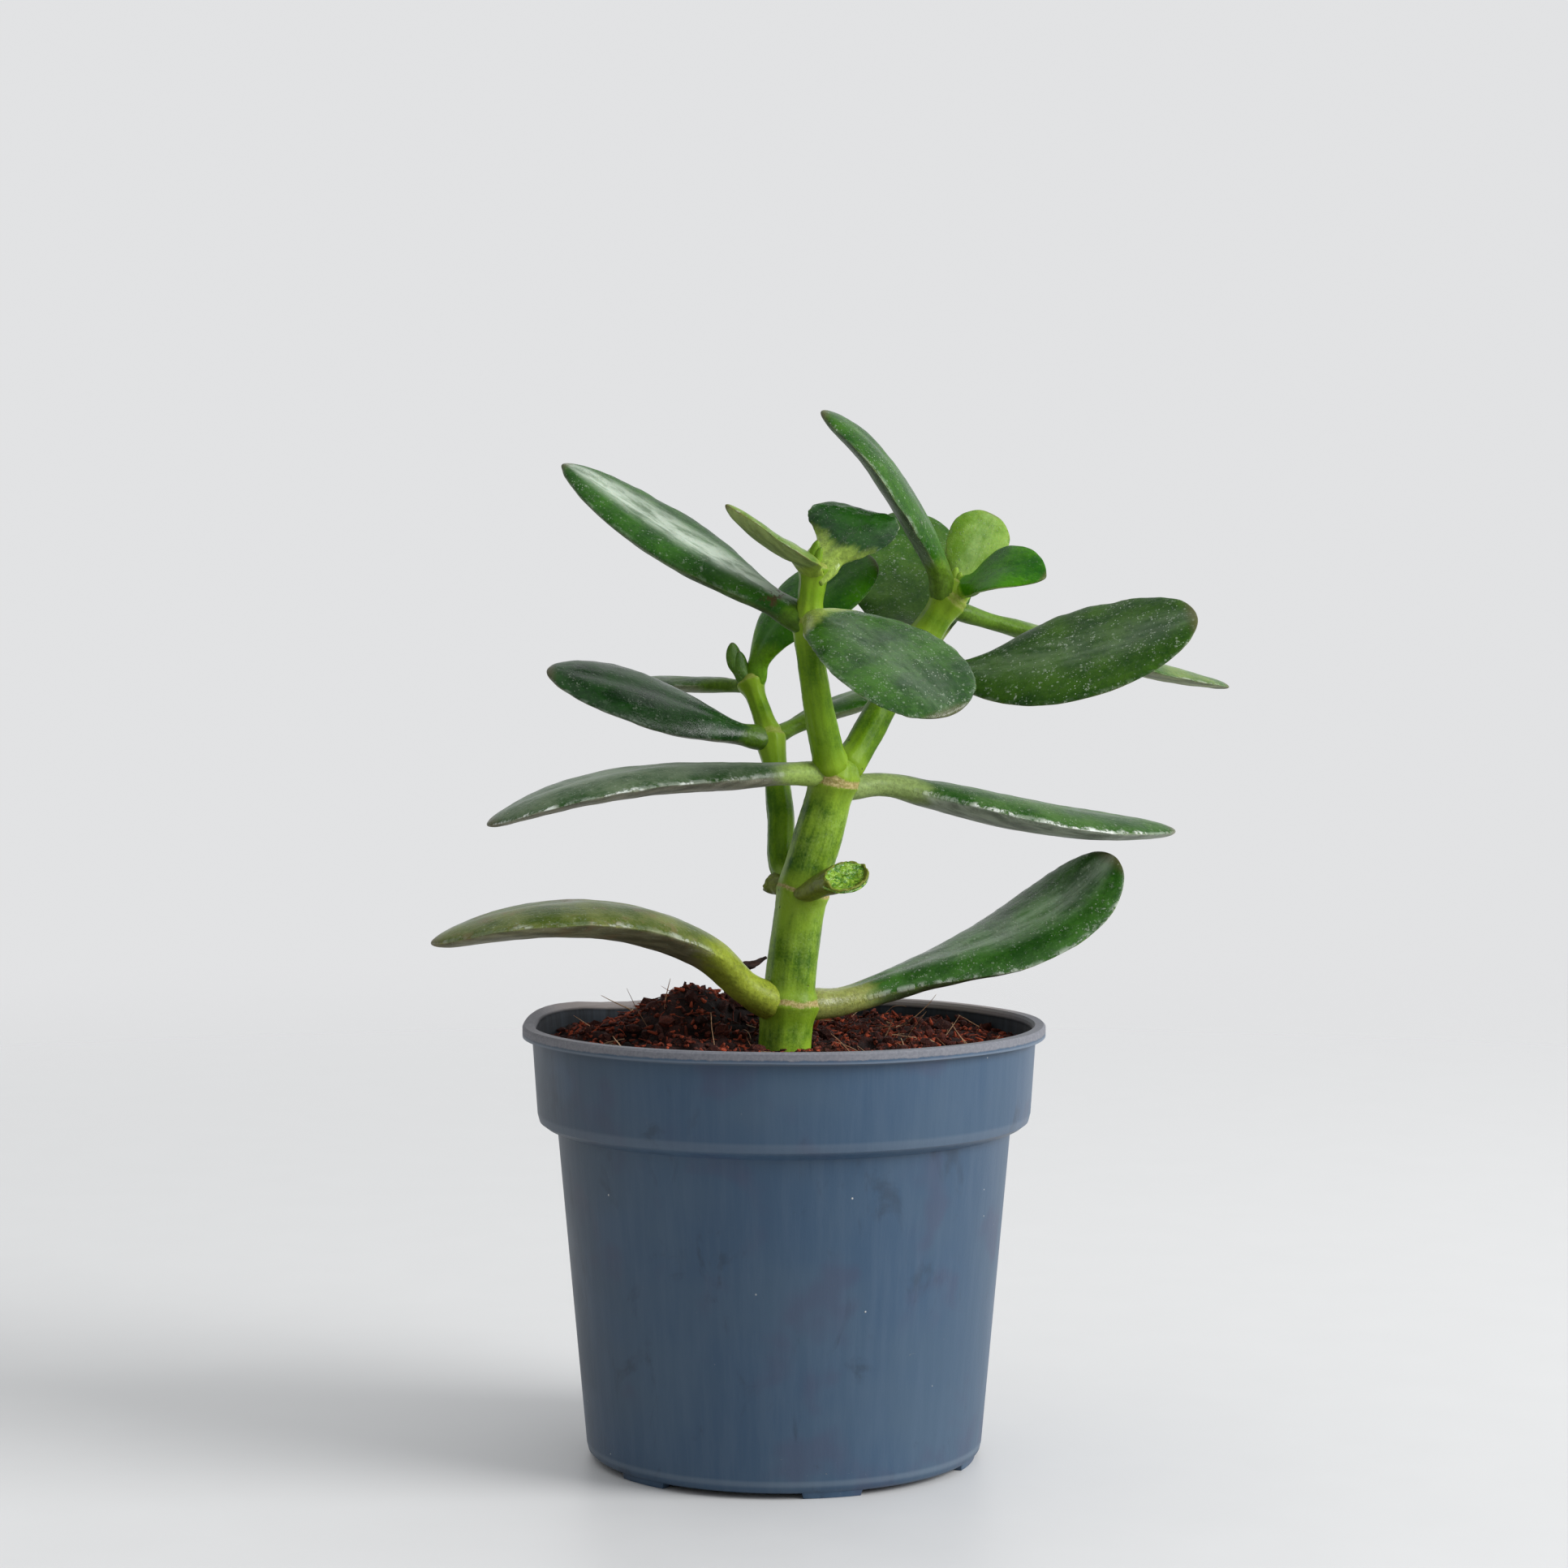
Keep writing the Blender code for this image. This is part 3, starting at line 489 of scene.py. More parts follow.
def torn_paint(name, dark, light, roughness):
    """Moist torn flesh: bright, glassy grains with pale fibres."""
    p = Paint(name)
    grain_distance, grain_pick = p.cells(0.8 * MM)
    fibres = p.noise(1.4 * MM, 4.0, 0.7, distortion=1.2)
    tone = p.step(p.add(p.mul(grain_pick, 0.5), p.mul(fibres, 0.7)), 0.35, 0.85)
    colour = p.mix(tone, dark, light)
    colour = p.mix(p.mul(p.step(fibres, 0.58, 0.66), 0.6), colour, (0.48, 0.6, 0.16))
    height = p.add(p.mul(grain_distance, -1.0), fibres)
    normal = p.bump(height, 0.35 * MM)
    return p.finish(
        colour, p.between(grain_pick, roughness, roughness + 0.25), normal, Subsurface_Weight=0.15,
        Subsurface_Scale=1.5 * MM, Coat_Weight=0.3, Coat_Roughness=0.12,
    )


def coir_paint(name, dark, light, dust):
    """Dry coir, each crumb and fibre in a tone of its own, darkened by painted shade in sunk places and the
    hollows by the stem.
    """
    p = Paint(name)
    tone = p.split(p.vector("tone"))
    fine = p.noise(0.7 * MM, 5.0, 0.7)
    threads = p.noise(0.35 * MM, 3.0, 0.7, p.scaled((1.0, 0.3, 1.0)))
    mixed = p.add(p.mul(tone[0], 0.75), p.mul(p.add(fine, -0.5), 0.9))
    colour = p.mix(p.step(mixed, 0.15, 0.85), dark, light)
    colour = p.mix(p.mul(p.step(threads, 0.58, 0.72), 0.5), colour, dust)
    # the second tone number: painted shade in sunk places and the hollows by the stem, and on some crumbs a
    # darker tone at random
    colour = p.mix(p.mul(tone[1], 0.85), colour, (0.004, 0.002, 0.002))
    normal = p.bump(p.add(fine, threads), 0.35 * MM)
    return p.finish(colour, p.between(fine, 0.75, 0.98), normal, Specular_IOR_Level=0.25)


def pot_paint():
    """Matte blue-grey plastic: faint drawn streaks, smudges, dust on its ledges and white specks, with
    painted shade on its left side and inside and painted highlights along the lip, the ledge and the foot.
    """
    p = Paint("pot_plastic_fine")
    where = p.split(p.place)
    skin = p.split(p.vector("pot_skin"))
    streaks = p.noise(2.0 * MM, 4.0, 0.6, p.scaled((1.0, 1.0, 0.06)))
    blotches = p.noise(24 * MM, 3.0, 0.5)
    fine = p.noise(0.6 * MM, 4.0, 0.7)
    colour = p.mix(p.step(blotches, 0.35, 0.68), (0.034, 0.07, 0.123), (0.046, 0.082, 0.129))
    colour = p.mix(p.mul(p.step(streaks, 0.35, 0.72), 0.4), colour, (0.06, 0.098, 0.152))
    purple = p.step(p.noise(13 * MM, 2.0, 0.5), 0.54, 0.7)
    colour = p.mix(p.mul(purple, 0.35), colour, (0.048, 0.048, 0.092))
    # painted shade: the left side, turned away from the window, is darker and greyer
    left_side_shade = p.mul(p.step(where[0], -0.02, -0.048), p.between(p.step(blotches, 0.3, 0.6), 0.4, 1.0))
    colour = p.mix(p.mul(left_side_shade, 0.55), colour, (0.03, 0.035, 0.038))
    smudges = p.step(p.noise(9 * MM, 5.0, 0.62, p.scaled((1.0, 1.0, 0.55)), 0.6), 0.58, 0.72)
    colour = p.mix(p.mul(smudges, 0.38), colour, (0.016, 0.022, 0.034))
    scuffs = p.step(p.noise(1.6 * MM, 4.0, 0.7, p.scaled((0.5, 0.5, 1.0)), 1.2), 0.7, 0.76)
    scuffs = p.mul(scuffs, p.step(p.noise(12 * MM, 2.0), 0.52, 0.62))
    colour = p.mix(p.mul(scuffs, 0.5), colour, (0.2, 0.2, 0.2))

    depth = skin[1]
    rough_line = p.add(depth, p.mul(p.add(p.noise(2.6 * MM, 5.0, 0.7), -0.5), 0.9))
    dust = p.step(rough_line, 1.75, 1.35)
    dust_colour = p.mix(p.step(fine, 0.3, 0.7), (0.165, 0.16, 0.17), (0.235, 0.225, 0.235))
    back_dust = p.step(where[1], 0.005, 0.03)
    dust_colour = p.mix(p.mul(back_dust, 0.7), dust_colour, (0.4, 0.33, 0.29))
    colour = p.mix(p.mul(dust, 0.72), colour, dust_colour)
    # painted highlight: a light line along the rounded lip below the rim
    lip_highlight = p.mul(p.step(depth, 1.7, 2.0), p.step(depth, 2.9, 2.5))
    colour = p.mix(p.mul(lip_highlight, 0.35), colour, (0.2, 0.23, 0.27))
    # painted highlight: a light line on the rounded edge of the step under the collar
    ledge_highlight = p.mul(p.step(where[2], POT_LEDGE - 2.8 * MM, POT_LEDGE - 2.0 * MM),
                       p.step(where[2], POT_LEDGE, POT_LEDGE - 0.8 * MM))
    colour = p.mix(p.mul(ledge_highlight, 0.25), colour, (0.14, 0.17, 0.21))
    # painted highlight: a light line on the rounded edge where the wall turns in to the foot
    foot_highlight = p.step(p.math("ABSOLUTE", p.add(where[2], -POT_FOOT_LINE)), 0.9 * MM, 0.2 * MM)
    colour = p.mix(p.mul(foot_highlight, 0.3), colour, (0.16, 0.2, 0.24))

    # painted shade: the inner wall below the rim is nearly black
    inside = p.mul(p.step(skin[0], 0.4, 0.6), p.step(depth, 0.9, 1.6))
    inner_wall_shade = p.mix(p.step(streaks, 0.4, 0.7), (0.003, 0.004, 0.006), (0.014, 0.019, 0.026))
    colour = p.mix(p.mul(inside, 0.93), colour, inner_wall_shade)

    speck_distance, speck_pick = p.cells(2.6 * MM)
    specks = p.mul(p.step(speck_distance, 0.1, 0.04), p.step(speck_pick, 0.94, 0.96))
    scum = p.step(p.noise(2.0 * MM, 6.0, 0.8, distortion=1.5), 0.665, 0.7)
    low_band = p.mul(p.step(where[2], 10 * MM, 3 * MM), p.step(p.noise(14 * MM, 2.0), 0.46, 0.6))
    specks = p.math("MAXIMUM", specks, p.mul(scum, low_band))
    specks = p.math("MAXIMUM", specks, p.mul(p.step(p.noise(0.9 * MM, 5.0, 0.8), 0.71, 0.75), dust))
    colour = p.mix(p.mul(specks, 0.7), colour, (0.6, 0.6, 0.58))

    relief = p.add(p.mul(specks, 0.6), p.mul(dust, 0.5))
    height = p.add(p.mul(fine, 0.18), p.add(p.mul(streaks, 0.3), relief))
    normal = p.bump(height, 0.12 * MM)
    roughness = p.between(p.step(blotches, 0.3, 0.7), 0.38, 0.5)
    roughness = p.add(roughness, p.mul(p.math("MAXIMUM", dust, specks), 0.3))
    roughness = p.add(roughness, p.mul(inside, 0.35))
    return p.finish(colour, roughness, normal, Specular_IOR_Level=0.3)


def bark_paint():
    p = Paint("bark_fine")
    fibres = p.noise(0.8 * MM, 5.0, 0.7, p.scaled((0.3, 1.0, 1.0)))
    colour = p.mix(p.step(fibres, 0.35, 0.7), (0.012, 0.006, 0.006), (0.075, 0.035, 0.028))
    return p.finish(colour, p.between(fibres, 0.7, 0.95), p.bump(fibres, 0.5 * MM))


def root_paint():
    p = Paint("root_fine")
    fine = p.noise(0.9 * MM, 5.0, 0.7)
    colour = p.mix(p.step(fine, 0.3, 0.7), (0.22, 0.13, 0.06), (0.46, 0.33, 0.19))
    return p.finish(colour, p.between(fine, 0.6, 0.9), p.bump(fine, 0.3 * MM))


# ---------------------------------------------------------------------------- leaves

class Leaf:
    """The shape of one CAD leaf: a row of places from its foot to its tip, each with its section."""

    def __init__(self, node, parent, upper=(0.0, -0.35, 1.0)):
        tip, rings, foot = limb(node, parent, LEAF_CORNERS)
        spans = [[np.linalg.norm(self.chord(ring, k)) for k in range(LEAF_CORNERS // 2)] for ring in rings]
        widest = int(np.argmax([max(s) for s in spans]))
        start = int(np.argmax(spans[widest]))
        picks = {widest: start}
        for step, stop in ((1, len(rings)), (-1, -1)):
            side = self.chord(rings[widest], start)
            for i in range(widest + step, stop, step):
                reach = [np.dot(self.chord(rings[i], k), side) for k in range(LEAF_CORNERS)]
                picks[i] = int(np.argmax(reach))
                side = self.chord(rings[i], picks[i])
        rows = [self.section(ring, picks[i]) for i, ring in enumerate(rings)][::-1]
        above = np.array(upper)
        middle = len(rings) - 1 - widest
        for i in list(range(middle, -1, -1)) + list(range(middle, len(rings))):
            place, side, up, half, depth, cup = rows[i]
            if np.dot(up, above) < 0:
                rows[i] = (place, side, -up, half, depth, -cup)
            above = rows[i][2] if i else rows[middle][2]
        place, side, up, half, depth, cup = rows[0]
        inward = unit(foot - place)
        reach = root_depth(parent, foot, inward)
        start = foot + reach * inward
        widest_foot = max(1.15 * reach, 2.6 * MM)
        first = (start, side, up, min(0.80 * half, 0.75 * widest_foot), 0.85 * depth, cup)
        second = (foot, side, up, min(1.14 * half, widest_foot), 1.12 * depth, cup)
        rows = [first, second] + rows
        side, up = rows[-1][1:3]
        rows.append((tip, side, up, 0.0, 0.0, 0.0))
        columns = (np.array(column) for column in zip(*rows))
        self.places, self.sides, self.ups, self.halves, self.depths, self.cups = columns
        self.knots = along_path(self.places)

    @staticmethod
    def chord(ring, k):
        """From the corner opposite corner k to corner k."""
        return ring[k] - ring[(k + LEAF_CORNERS // 2) % LEAF_CORNERS]

    @staticmethod
    def section(ring, first):
        """(middle, side, up, half width, half depth, rise of the edges) of one ring of corners."""
        ring = np.roll(ring, -first, axis=0)
        half_turn = LEAF_CORNERS // 2
        side = unit(ring[0] - ring[half_turn])
        above = (ring[2] + ring[3]) / 2
        below = (ring[7] + ring[8]) / 2
        up = above - below
        up = unit(up - np.dot(up, side) * side)
        middle = (above + below) / 2
        edges = (ring[0] + ring[half_turn]) / 2
        half = np.linalg.norm(ring[0] - ring[half_turn]) / 2
        depth = np.linalg.norm(above - below) / 2 / 0.94
        return middle, side, up, half, depth, float(np.dot(edges - middle, up))

    def rows(self, count):
        """Smooth rows of (place, side, up, half width, half depth, rise) with their lengths."""
        even = np.linspace(0, 1, count + 1)[:-1]
        wanted = self.knots[-1] * (1 - (1 - even) ** 1.7)
        places = smooth(self.knots, self.places, wanted)
        sides = smooth(self.knots, self.sides, wanted)
        ups = smooth(self.knots, self.ups, wanted)
        halves = np.sqrt(np.maximum(smooth(self.knots, self.halves**2, wanted), 0.0))
        depths = np.sqrt(np.maximum(smooth(self.knots, self.depths**2, wanted), 0.0))
        cups = smooth(self.knots, self.cups, wanted)
        sides /= np.linalg.norm(sides, axis=1, keepdims=True)
        ups -= np.sum(ups * sides, axis=1, keepdims=True) * sides
        ups /= np.linalg.norm(ups, axis=1, keepdims=True)
        return wanted, places, sides, ups, halves, depths, cups


def make_leaf(node, parent, paint, groove=0.35, wave=0.25, lumps=0.14, crinkle=0.0,
              rows=LEAF_ROWS, columns=LEAF_COLUMNS, name=None, shift=(0, 0, 0), scale=1.0):
    """The finished skin of one leaf, with a midrib groove, a wavy rim and a slightly uneven face.

    groove, wave, lumps and crinkle are depths and shift is a distance, in millimetres.
    """
    shape = Leaf(node, parent)
    wanted, places, sides, ups, halves, depths, cups = shape.rows(rows)
    length = shape.knots[-1]
    share = wanted / length
    turns = np.linspace(0, math.tau, columns, endpoint=False)
    across, lift = np.cos(turns), np.sin(turns)
    seed = sum(ord(letter) for letter in node) * 0.37

    blade = fade(halves / max(halves), 0.25, 0.75)
    power = 1 + 0.45 * blade[:, None]
    heights = np.sign(lift) * np.abs(lift) ** power * depths[:, None]
    heights = heights + cups[:, None] * across**2
    middle = np.exp(-((across / 0.17) ** 2)) * (lift > 0)
    run = (fade(share, 0.1, 0.25) * (1 - fade(share, 0.8, 0.97)))[:, None]
    heights = heights - groove * MM * middle * run * np.minimum(depths[:, None] / (2.2 * MM), 1.0)

    edge_noise = np.zeros((rows, 2))
    for i in range(rows):
        for k, offset in enumerate((0.0, 40.0)):
            x = wanted[i] / (5.5 * MM)
            slow = noise.noise(Vector((x, seed + offset, 1.3)))
            quick = noise.noise(Vector((3.1 * x, seed + offset, 5.1)))
            edge_noise[i, k] = (slow + 0.35 * quick) * blade[i]
    edge = np.where(across > 0, edge_noise[:, :1], edge_noise[:, 1:]) * np.abs(across) ** 4
    widths = halves[:, None] * across + wave * MM * edge * np.sign(across) * 0.8
    heights = heights + wave * MM * edge

    grid = places[:, None, :] + widths[..., None] * sides[:, None, :] + heights[..., None] * ups[:, None, :]
    normals = grid_normals(grid)
    size = np.minimum(halves / (3 * MM), 1.0)
    for i in range(rows):
        for j in range(columns):
            p = grid[i, j]
            bumpy = lumps * (noise3(p, 5.5 * MM, seed) + 0.45 * noise3(p, 2.0 * MM, seed))
            if crinkle:
                q = (p[0] * 1.0, p[1] * 0.6, p[2] * 1.7)
                bumpy += crinkle * (abs(noise3(q, 2.4 * MM, seed)) - 0.25) * blade[i]
            grid[i, j] = p + normals[i, j] * bumpy * MM * size[i]
    grid = np.array(shift) * MM + places[0] + (grid - places[0]) * scale

    verts = grid.reshape(-1, 3).tolist() + [grid[0].mean(axis=0).tolist()]
    tip = shape.places[-1] if scale == 1.0 else places[0] + (shape.places[-1] - places[0]) * scale
    verts.append((tip + np.array(shift) * MM).tolist())
    whole = np.ones((rows, columns))
    shares = np.stack([whole * share[:, None], whole * across, whole * lift], -1)
    sizes = np.stack([whole * wanted[:, None] / MM, widths / MM, 0 * whole], -1)
    shares = np.concatenate([shares.reshape(-1, 3), [(0, 0, 0), (1, 0, 0)]])
    sizes = np.concatenate([sizes.reshape(-1, 3), [(0, 0, 0), (length / MM, 0, 0)]])
    piece = new_piece(name or node + "_skin", verts, skin_faces(rows, columns), paint,
                      {"leaf_share": shares, "leaf_mm": sizes})
    face_outward(piece)
    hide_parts(node)
    return shape


LEAF_PARENTS = {
    "leaf_low_left": "main_stem",
    "leaf_low_right": "main_stem",
    "leaf_middle_left": "main_stem",
    "leaf_middle_right": "main_stem",
    "leaf_front_left": "front_branch",
    "leaf_front_right": "front_branch",
    "leaf_top_left": "front_branch",
    "leaf_top_right": "front_branch",
    "leaf_right_broad": "right_branch",
    "leaf_right_behind": "right_branch",
    "leaf_right_tall": "right_branch",
    "leaf_right_far": "right_branch",
    "leaf_young_right": "right_branch",
    "leaf_young_left": "right_branch",
    "leaf_back_left": "back_branch",
    "leaf_back_right": "back_branch",
    "leaf_back_up": "back_branch",
    "leaf_back_far": "back_branch",
}
BUD_PARENTS = {"bud_front": "front_branch", "bud_right": "right_branch", "bud_back": "back_branch"}
# Each leaf's greens and sheen are set for how light falls on it, so they hold painted light and shade on top
# of real differences in age and wear.
LEAF_FINISHES = {                # the leaves differ in age, light and wear; see leaf_paint
    "leaf_low_left": dict(
        dark=(0.04, 0.07, 0.004), light=(0.15, 0.175, 0.05), stalk=(0.32, 0.39, 0.04),
        under=(0.2, 0.19, 0.11), rim=(0.3, 0.31, 0.14), flakes=0.35, sheen=0.25, specks=0.5, brown=0.45,
        stalk_length=20.0),
    "leaf_low_right": dict(
        dark=(0.006, 0.045, 0.001), light=(0.035, 0.125, 0.01), stalk=(0.32, 0.35, 0.09),
        under=(0.1, 0.15, 0.05), rim=(0.16, 0.192, 0.066), flakes=0.4, sheen=0.35, specks=0.7,
        stalk_length=15.0, gloss=0.26, shine=0.35),
    "leaf_middle_left": dict(
        dark=(0.012, 0.05, 0.005), light=(0.11, 0.155, 0.085), stalk=(0.28, 0.4, 0.09),
        under=(0.26, 0.25, 0.19), rim=(0.44, 0.44, 0.34), flakes=0.95, sheen=0.3, specks=0.6,
        stalk_length=12.0),
    "leaf_middle_right": dict(
        dark=(0.008, 0.055, 0.002), light=(0.06, 0.135, 0.03), stalk=(0.3, 0.41, 0.13),
        under=(0.33, 0.37, 0.29), rim=(0.43, 0.46, 0.36), flakes=0.95, sheen=0.15, specks=0.7,
        stalk_length=17.0),
    "leaf_front_left": dict(
        dark=(0.006, 0.045, 0.001), light=(0.03, 0.11, 0.008), stalk=(0.07, 0.15, 0.01),
        under=(0.08, 0.136, 0.033), rim=(0.1, 0.15, 0.044), flakes=0.1, sheen=1.0, specks=0.6,
        stalk_length=5.0, scab=9.5),
    "leaf_front_right": dict(
        dark=(0.005, 0.04, 0.001), light=(0.032, 0.112, 0.004), stalk=(0.33, 0.43, 0.09),
        rim=(0.2, 0.25, 0.11), flakes=0.15, sheen=0.12, specks=0.8, stalk_length=6.5, gloss=0.26,
        shine=0.3),
    "leaf_top_left": dict(
        dark=(0.06, 0.13, 0.008), light=(0.19, 0.27, 0.07), stalk=(0.28, 0.39, 0.05),
        under=(0.24, 0.31, 0.1), rim=(0.176, 0.11, 0.044), flakes=0.2, sheen=0.3, specks=0.5,
        stalk_length=6.0),
    "leaf_top_right": dict(
        dark=(0.001, 0.026, 0.001), light=(0.012, 0.07, 0.002), stalk=(0.33, 0.47, 0.07),
        rim=(0.264, 0.33, 0.143), flakes=0.1, sheen=0.0, specks=0.3, stalk_length=7.5, gloss=0.24,
        shine=0.3),
    "leaf_right_broad": dict(
        dark=(0.007, 0.044, 0.001), light=(0.042, 0.112, 0.006), stalk=(0.14, 0.18, 0.02),
        rim=(0.192, 0.192, 0.077), flakes=0.1, sheen=0.14, specks=1.25, stalk_length=8.0),
    "leaf_right_behind": dict(
        dark=(0.016, 0.07, 0.002), light=(0.06, 0.14, 0.014), stalk=(0.16, 0.23, 0.027),
        rim=(0.16, 0.2, 0.077), flakes=0.1, sheen=0.0, specks=0.8, stalk_length=8.0),
    "leaf_right_tall": dict(
        dark=(0.007, 0.052, 0.001), light=(0.036, 0.12, 0.005), stalk=(0.11, 0.21, 0.016),
        rim=(0.24, 0.264, 0.132), flakes=0.15, sheen=0.05, specks=0.8, stalk_length=9.0),
    "leaf_right_far": dict(
        dark=(0.02, 0.08, 0.003), light=(0.15, 0.22, 0.06), stalk=(0.11, 0.22, 0.016),
        under=(0.24, 0.272, 0.143), rim=(0.24, 0.272, 0.132), flakes=0.3, sheen=0.4, specks=0.6,
        stalk_length=18.0),
    "leaf_young_right": dict(
        dark=(0.01, 0.085, 0.001), light=(0.06, 0.23, 0.001), stalk=(0.26, 0.46, 0.03),
        under=(0.136, 0.26, 0.02), rim=(0.3, 0.42, 0.1), flakes=0.0, sheen=0.0, specks=0.15,
        stalk_length=3.0, glow=0.08, gloss=0.28),
    "leaf_young_left": dict(
        dark=(0.09, 0.19, 0.01), light=(0.21, 0.34, 0.06), stalk=(0.26, 0.43, 0.036),
        under=(0.136, 0.24, 0.033), rim=(0.32, 0.4, 0.132), flakes=0.0, sheen=0.1, specks=0.3,
        stalk_length=3.0, glow=0.08),
    "leaf_back_left": dict(
        dark=(0.001, 0.02, 0.001), light=(0.006, 0.052, 0.001), stalk=(0.07, 0.15, 0.008),
        under=(0.22, 0.245, 0.16), rim=(0.13, 0.15, 0.07), flakes=0.15, sheen=0.0, specks=0.45,
        stalk_length=6.0, gloss=0.26, shine=0.3),
    "leaf_back_right": dict(
        dark=(0.018, 0.09, 0.003), light=(0.06, 0.155, 0.01), stalk=(0.12, 0.23, 0.012),
        under=(0.16, 0.216, 0.077), flakes=0.2, specks=0.4, stalk_length=10.0),
    "leaf_back_up": dict(
        dark=(0.005, 0.062, 0.001), light=(0.036, 0.15, 0.001), stalk=(0.13, 0.3, 0.01),
        rim=(0.208, 0.3, 0.066), flakes=0.05, sheen=0.05, specks=0.3, stalk_length=9.0, gloss=0.28),
    "leaf_back_far": dict(
        dark=(0.006, 0.045, 0.001), light=(0.08, 0.145, 0.035), stalk=(0.1, 0.2, 0.012),
        under=(0.192, 0.224, 0.11), flakes=0.2, specks=0.5, stalk_length=9.0),
}
LEAF_GROOVES = {                 # depths of the midrib and of the crinkles, in millimetres
    "leaf_front_left": 0.7, "leaf_right_broad": 0.3, "leaf_young_left": 0.15, "leaf_young_right": 0.15,
}
LEAF_CRINKLES = {"leaf_top_right": 0.5, "leaf_front_right": 0.35}
BUD_LEAFLETS = (((-0.35, 0.1, 0.0), 0.92), ((0.45, -0.25, -0.3), 0.8))      # (shift in mm, scale)


def make_leaves():
    """Makes every leaf and bud, and returns the middles of the leaves' feet by stem."""
    feet = {}
    for node, parent in LEAF_PARENTS.items():
        paint = leaf_paint(node + "_paint", **LEAF_FINISHES[node])
        shape = make_leaf(
            node, parent, paint, groove=LEAF_GROOVES.get(node, 0.35), crinkle=LEAF_CRINKLES.get(node, 0.0),
        )
        feet.setdefault(parent, []).append(shape.places[1])
    bud = leaf_paint(
        "bud_paint", (0.11, 0.21, 0.012), (0.24, 0.38, 0.04), (0.18, 0.31, 0.025),
        rim=(0.5, 0.55, 0.28), flakes=0.1, sheen=0.0, specks=0.15, stalk_length=0.5, glow=0.15)
    dark_bud = leaf_paint(
        "dark_bud_paint", (0.018, 0.075, 0.004), (0.08, 0.165, 0.02), (0.11, 0.19, 0.02),
        rim=(0.2, 0.24, 0.12), flakes=0.2, sheen=0.1, specks=0.4, stalk_length=0.5)
    for node, parent in BUD_PARENTS.items():
        paint = dark_bud if node == "bud_back" else bud
        for k, (shift, scale) in enumerate(BUD_LEAFLETS):
            make_leaf(node, parent, paint, groove=0.1, wave=0.05, lumps=0.05, rows=40,
                      columns=28, name=f"{node}_leaflet_{k + 1}", shift=shift, scale=scale)
    return feet


# ---------------------------------------------------------------------------- stems

def make_stem(node, parent, feet, paint):
    """A stem's finished skin: faint ribs, a swollen collar and a scarred crease at each leaf node."""
    tip, rings, foot = limb(node, parent, STEM_CORNERS)
    centres = [ring.mean(axis=0) for ring in rings][::-1]
    radii = [np.linalg.norm(ring - ring.mean(axis=0), axis=1).mean() for ring in rings][::-1]
    rooted = node != "main_stem"
    if rooted:
        inward = unit(foot - centres[0])
        centres = [foot + 2.2 * MM * inward, foot] + centres
        radii = [0.85 * radii[0], 1.04 * radii[0]] + radii
    centres.append(tip)
    radii.append(0.0)
    centres, radii = np.array(centres), np.array(radii)
    knots = along_path(centres)
    length = knots[-1]
    rows = int(length / MM * STEM_ROWS_PER_MM)
    even = np.linspace(0, 1, rows + 1)[:-1]
    wanted = length * (1 - (1 - even) ** 1.25)
    places = smooth(knots, centres, wanted)
    sizes = np.sqrt(np.maximum(smooth(knots, radii**2, wanted), 0.0))
    heads = np.gradient(places, axis=0)
    heads /= np.linalg.norm(heads, axis=1, keepdims=True)
    side = unit(np.cross(heads[0], (0.2, 1.0, 0.1)))
    turns = np.linspace(0, math.tau, STEM_COLUMNS, endpoint=False)
    seed = sum(ord(letter) for letter in node) * 0.61
    leaf_nodes = sorted(float(wanted[np.argmin(np.linalg.norm(places - p, axis=1))]) for p in feet)

    grid = np.zeros((rows, STEM_COLUMNS, 3))
    marks = np.zeros((rows, STEM_COLUMNS, 3))
    skin = np.zeros((rows, STEM_COLUMNS, 3))
    for i in range(rows):
        side = unit(side - np.dot(side, heads[i]) * heads[i])
        other = np.cross(heads[i], side)
        for j, turn in enumerate(turns):
            out = math.cos(turn) * side + math.sin(turn) * other
            p = places[i] + sizes[i] * out
            drift = 0.7 * MM * noise3(p, 3.5 * MM, seed)
            swell = 0.0
            scar = 0.0
            bright = 0.0
            for at in leaf_nodes:
                gap = (wanted[i] + drift - at) / MM
                swell += 0.42 * math.exp(-((gap / 1.9) ** 2)) - 0.30 * math.exp(-(((gap - 0.4) / 0.3) ** 2))
                scar = max(scar, math.exp(-(((gap - 0.3) / 0.75) ** 2)))
                bright = max(bright, math.exp(-((gap / 4.5) ** 2)))
            if rooted:
                gap = (wanted[i] + drift) / MM
                swell += 0.25 * math.exp(-(((gap - 2.6) / 1.2) ** 2))
                bright = max(bright, math.exp(-((gap / 6.0) ** 2)))
            ribs = 0.07 * math.sin(5 * turn + 0.05 * wanted[i] / MM) + 0.05 * math.sin(9 * turn + seed)
            rough = 0.16 * noise3((p[0], p[1], p[2] * 0.35), 3.0 * MM, seed)
            rough += 0.05 * noise3(p, 0.9 * MM, seed)
            size = min(sizes[i] / (2 * MM), 1.0)
            grid[i, j] = p + out * (swell + ribs + rough) * MM * size
            marks[i, j] = (scar, bright, 0.0)
            thick = 1.6 * sizes[i] / MM
            skin[i, j] = (wanted[i] / MM, thick * math.cos(turn), thick * math.sin(turn))
    verts = grid.reshape(-1, 3).tolist() + [grid[0].mean(axis=0).tolist(), tip.tolist()]
    ends = [(0, 0, 0), (0, 0, 0)]
    piece = new_piece(node + "_skin", verts, skin_faces(rows, STEM_COLUMNS), paint, {
        "stem_mm": np.concatenate([skin.reshape(-1, 3), ends]),
        "stem_marks": np.concatenate([marks.reshape(-1, 3), ends]),
    })
    face_outward(piece)
    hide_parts(node)


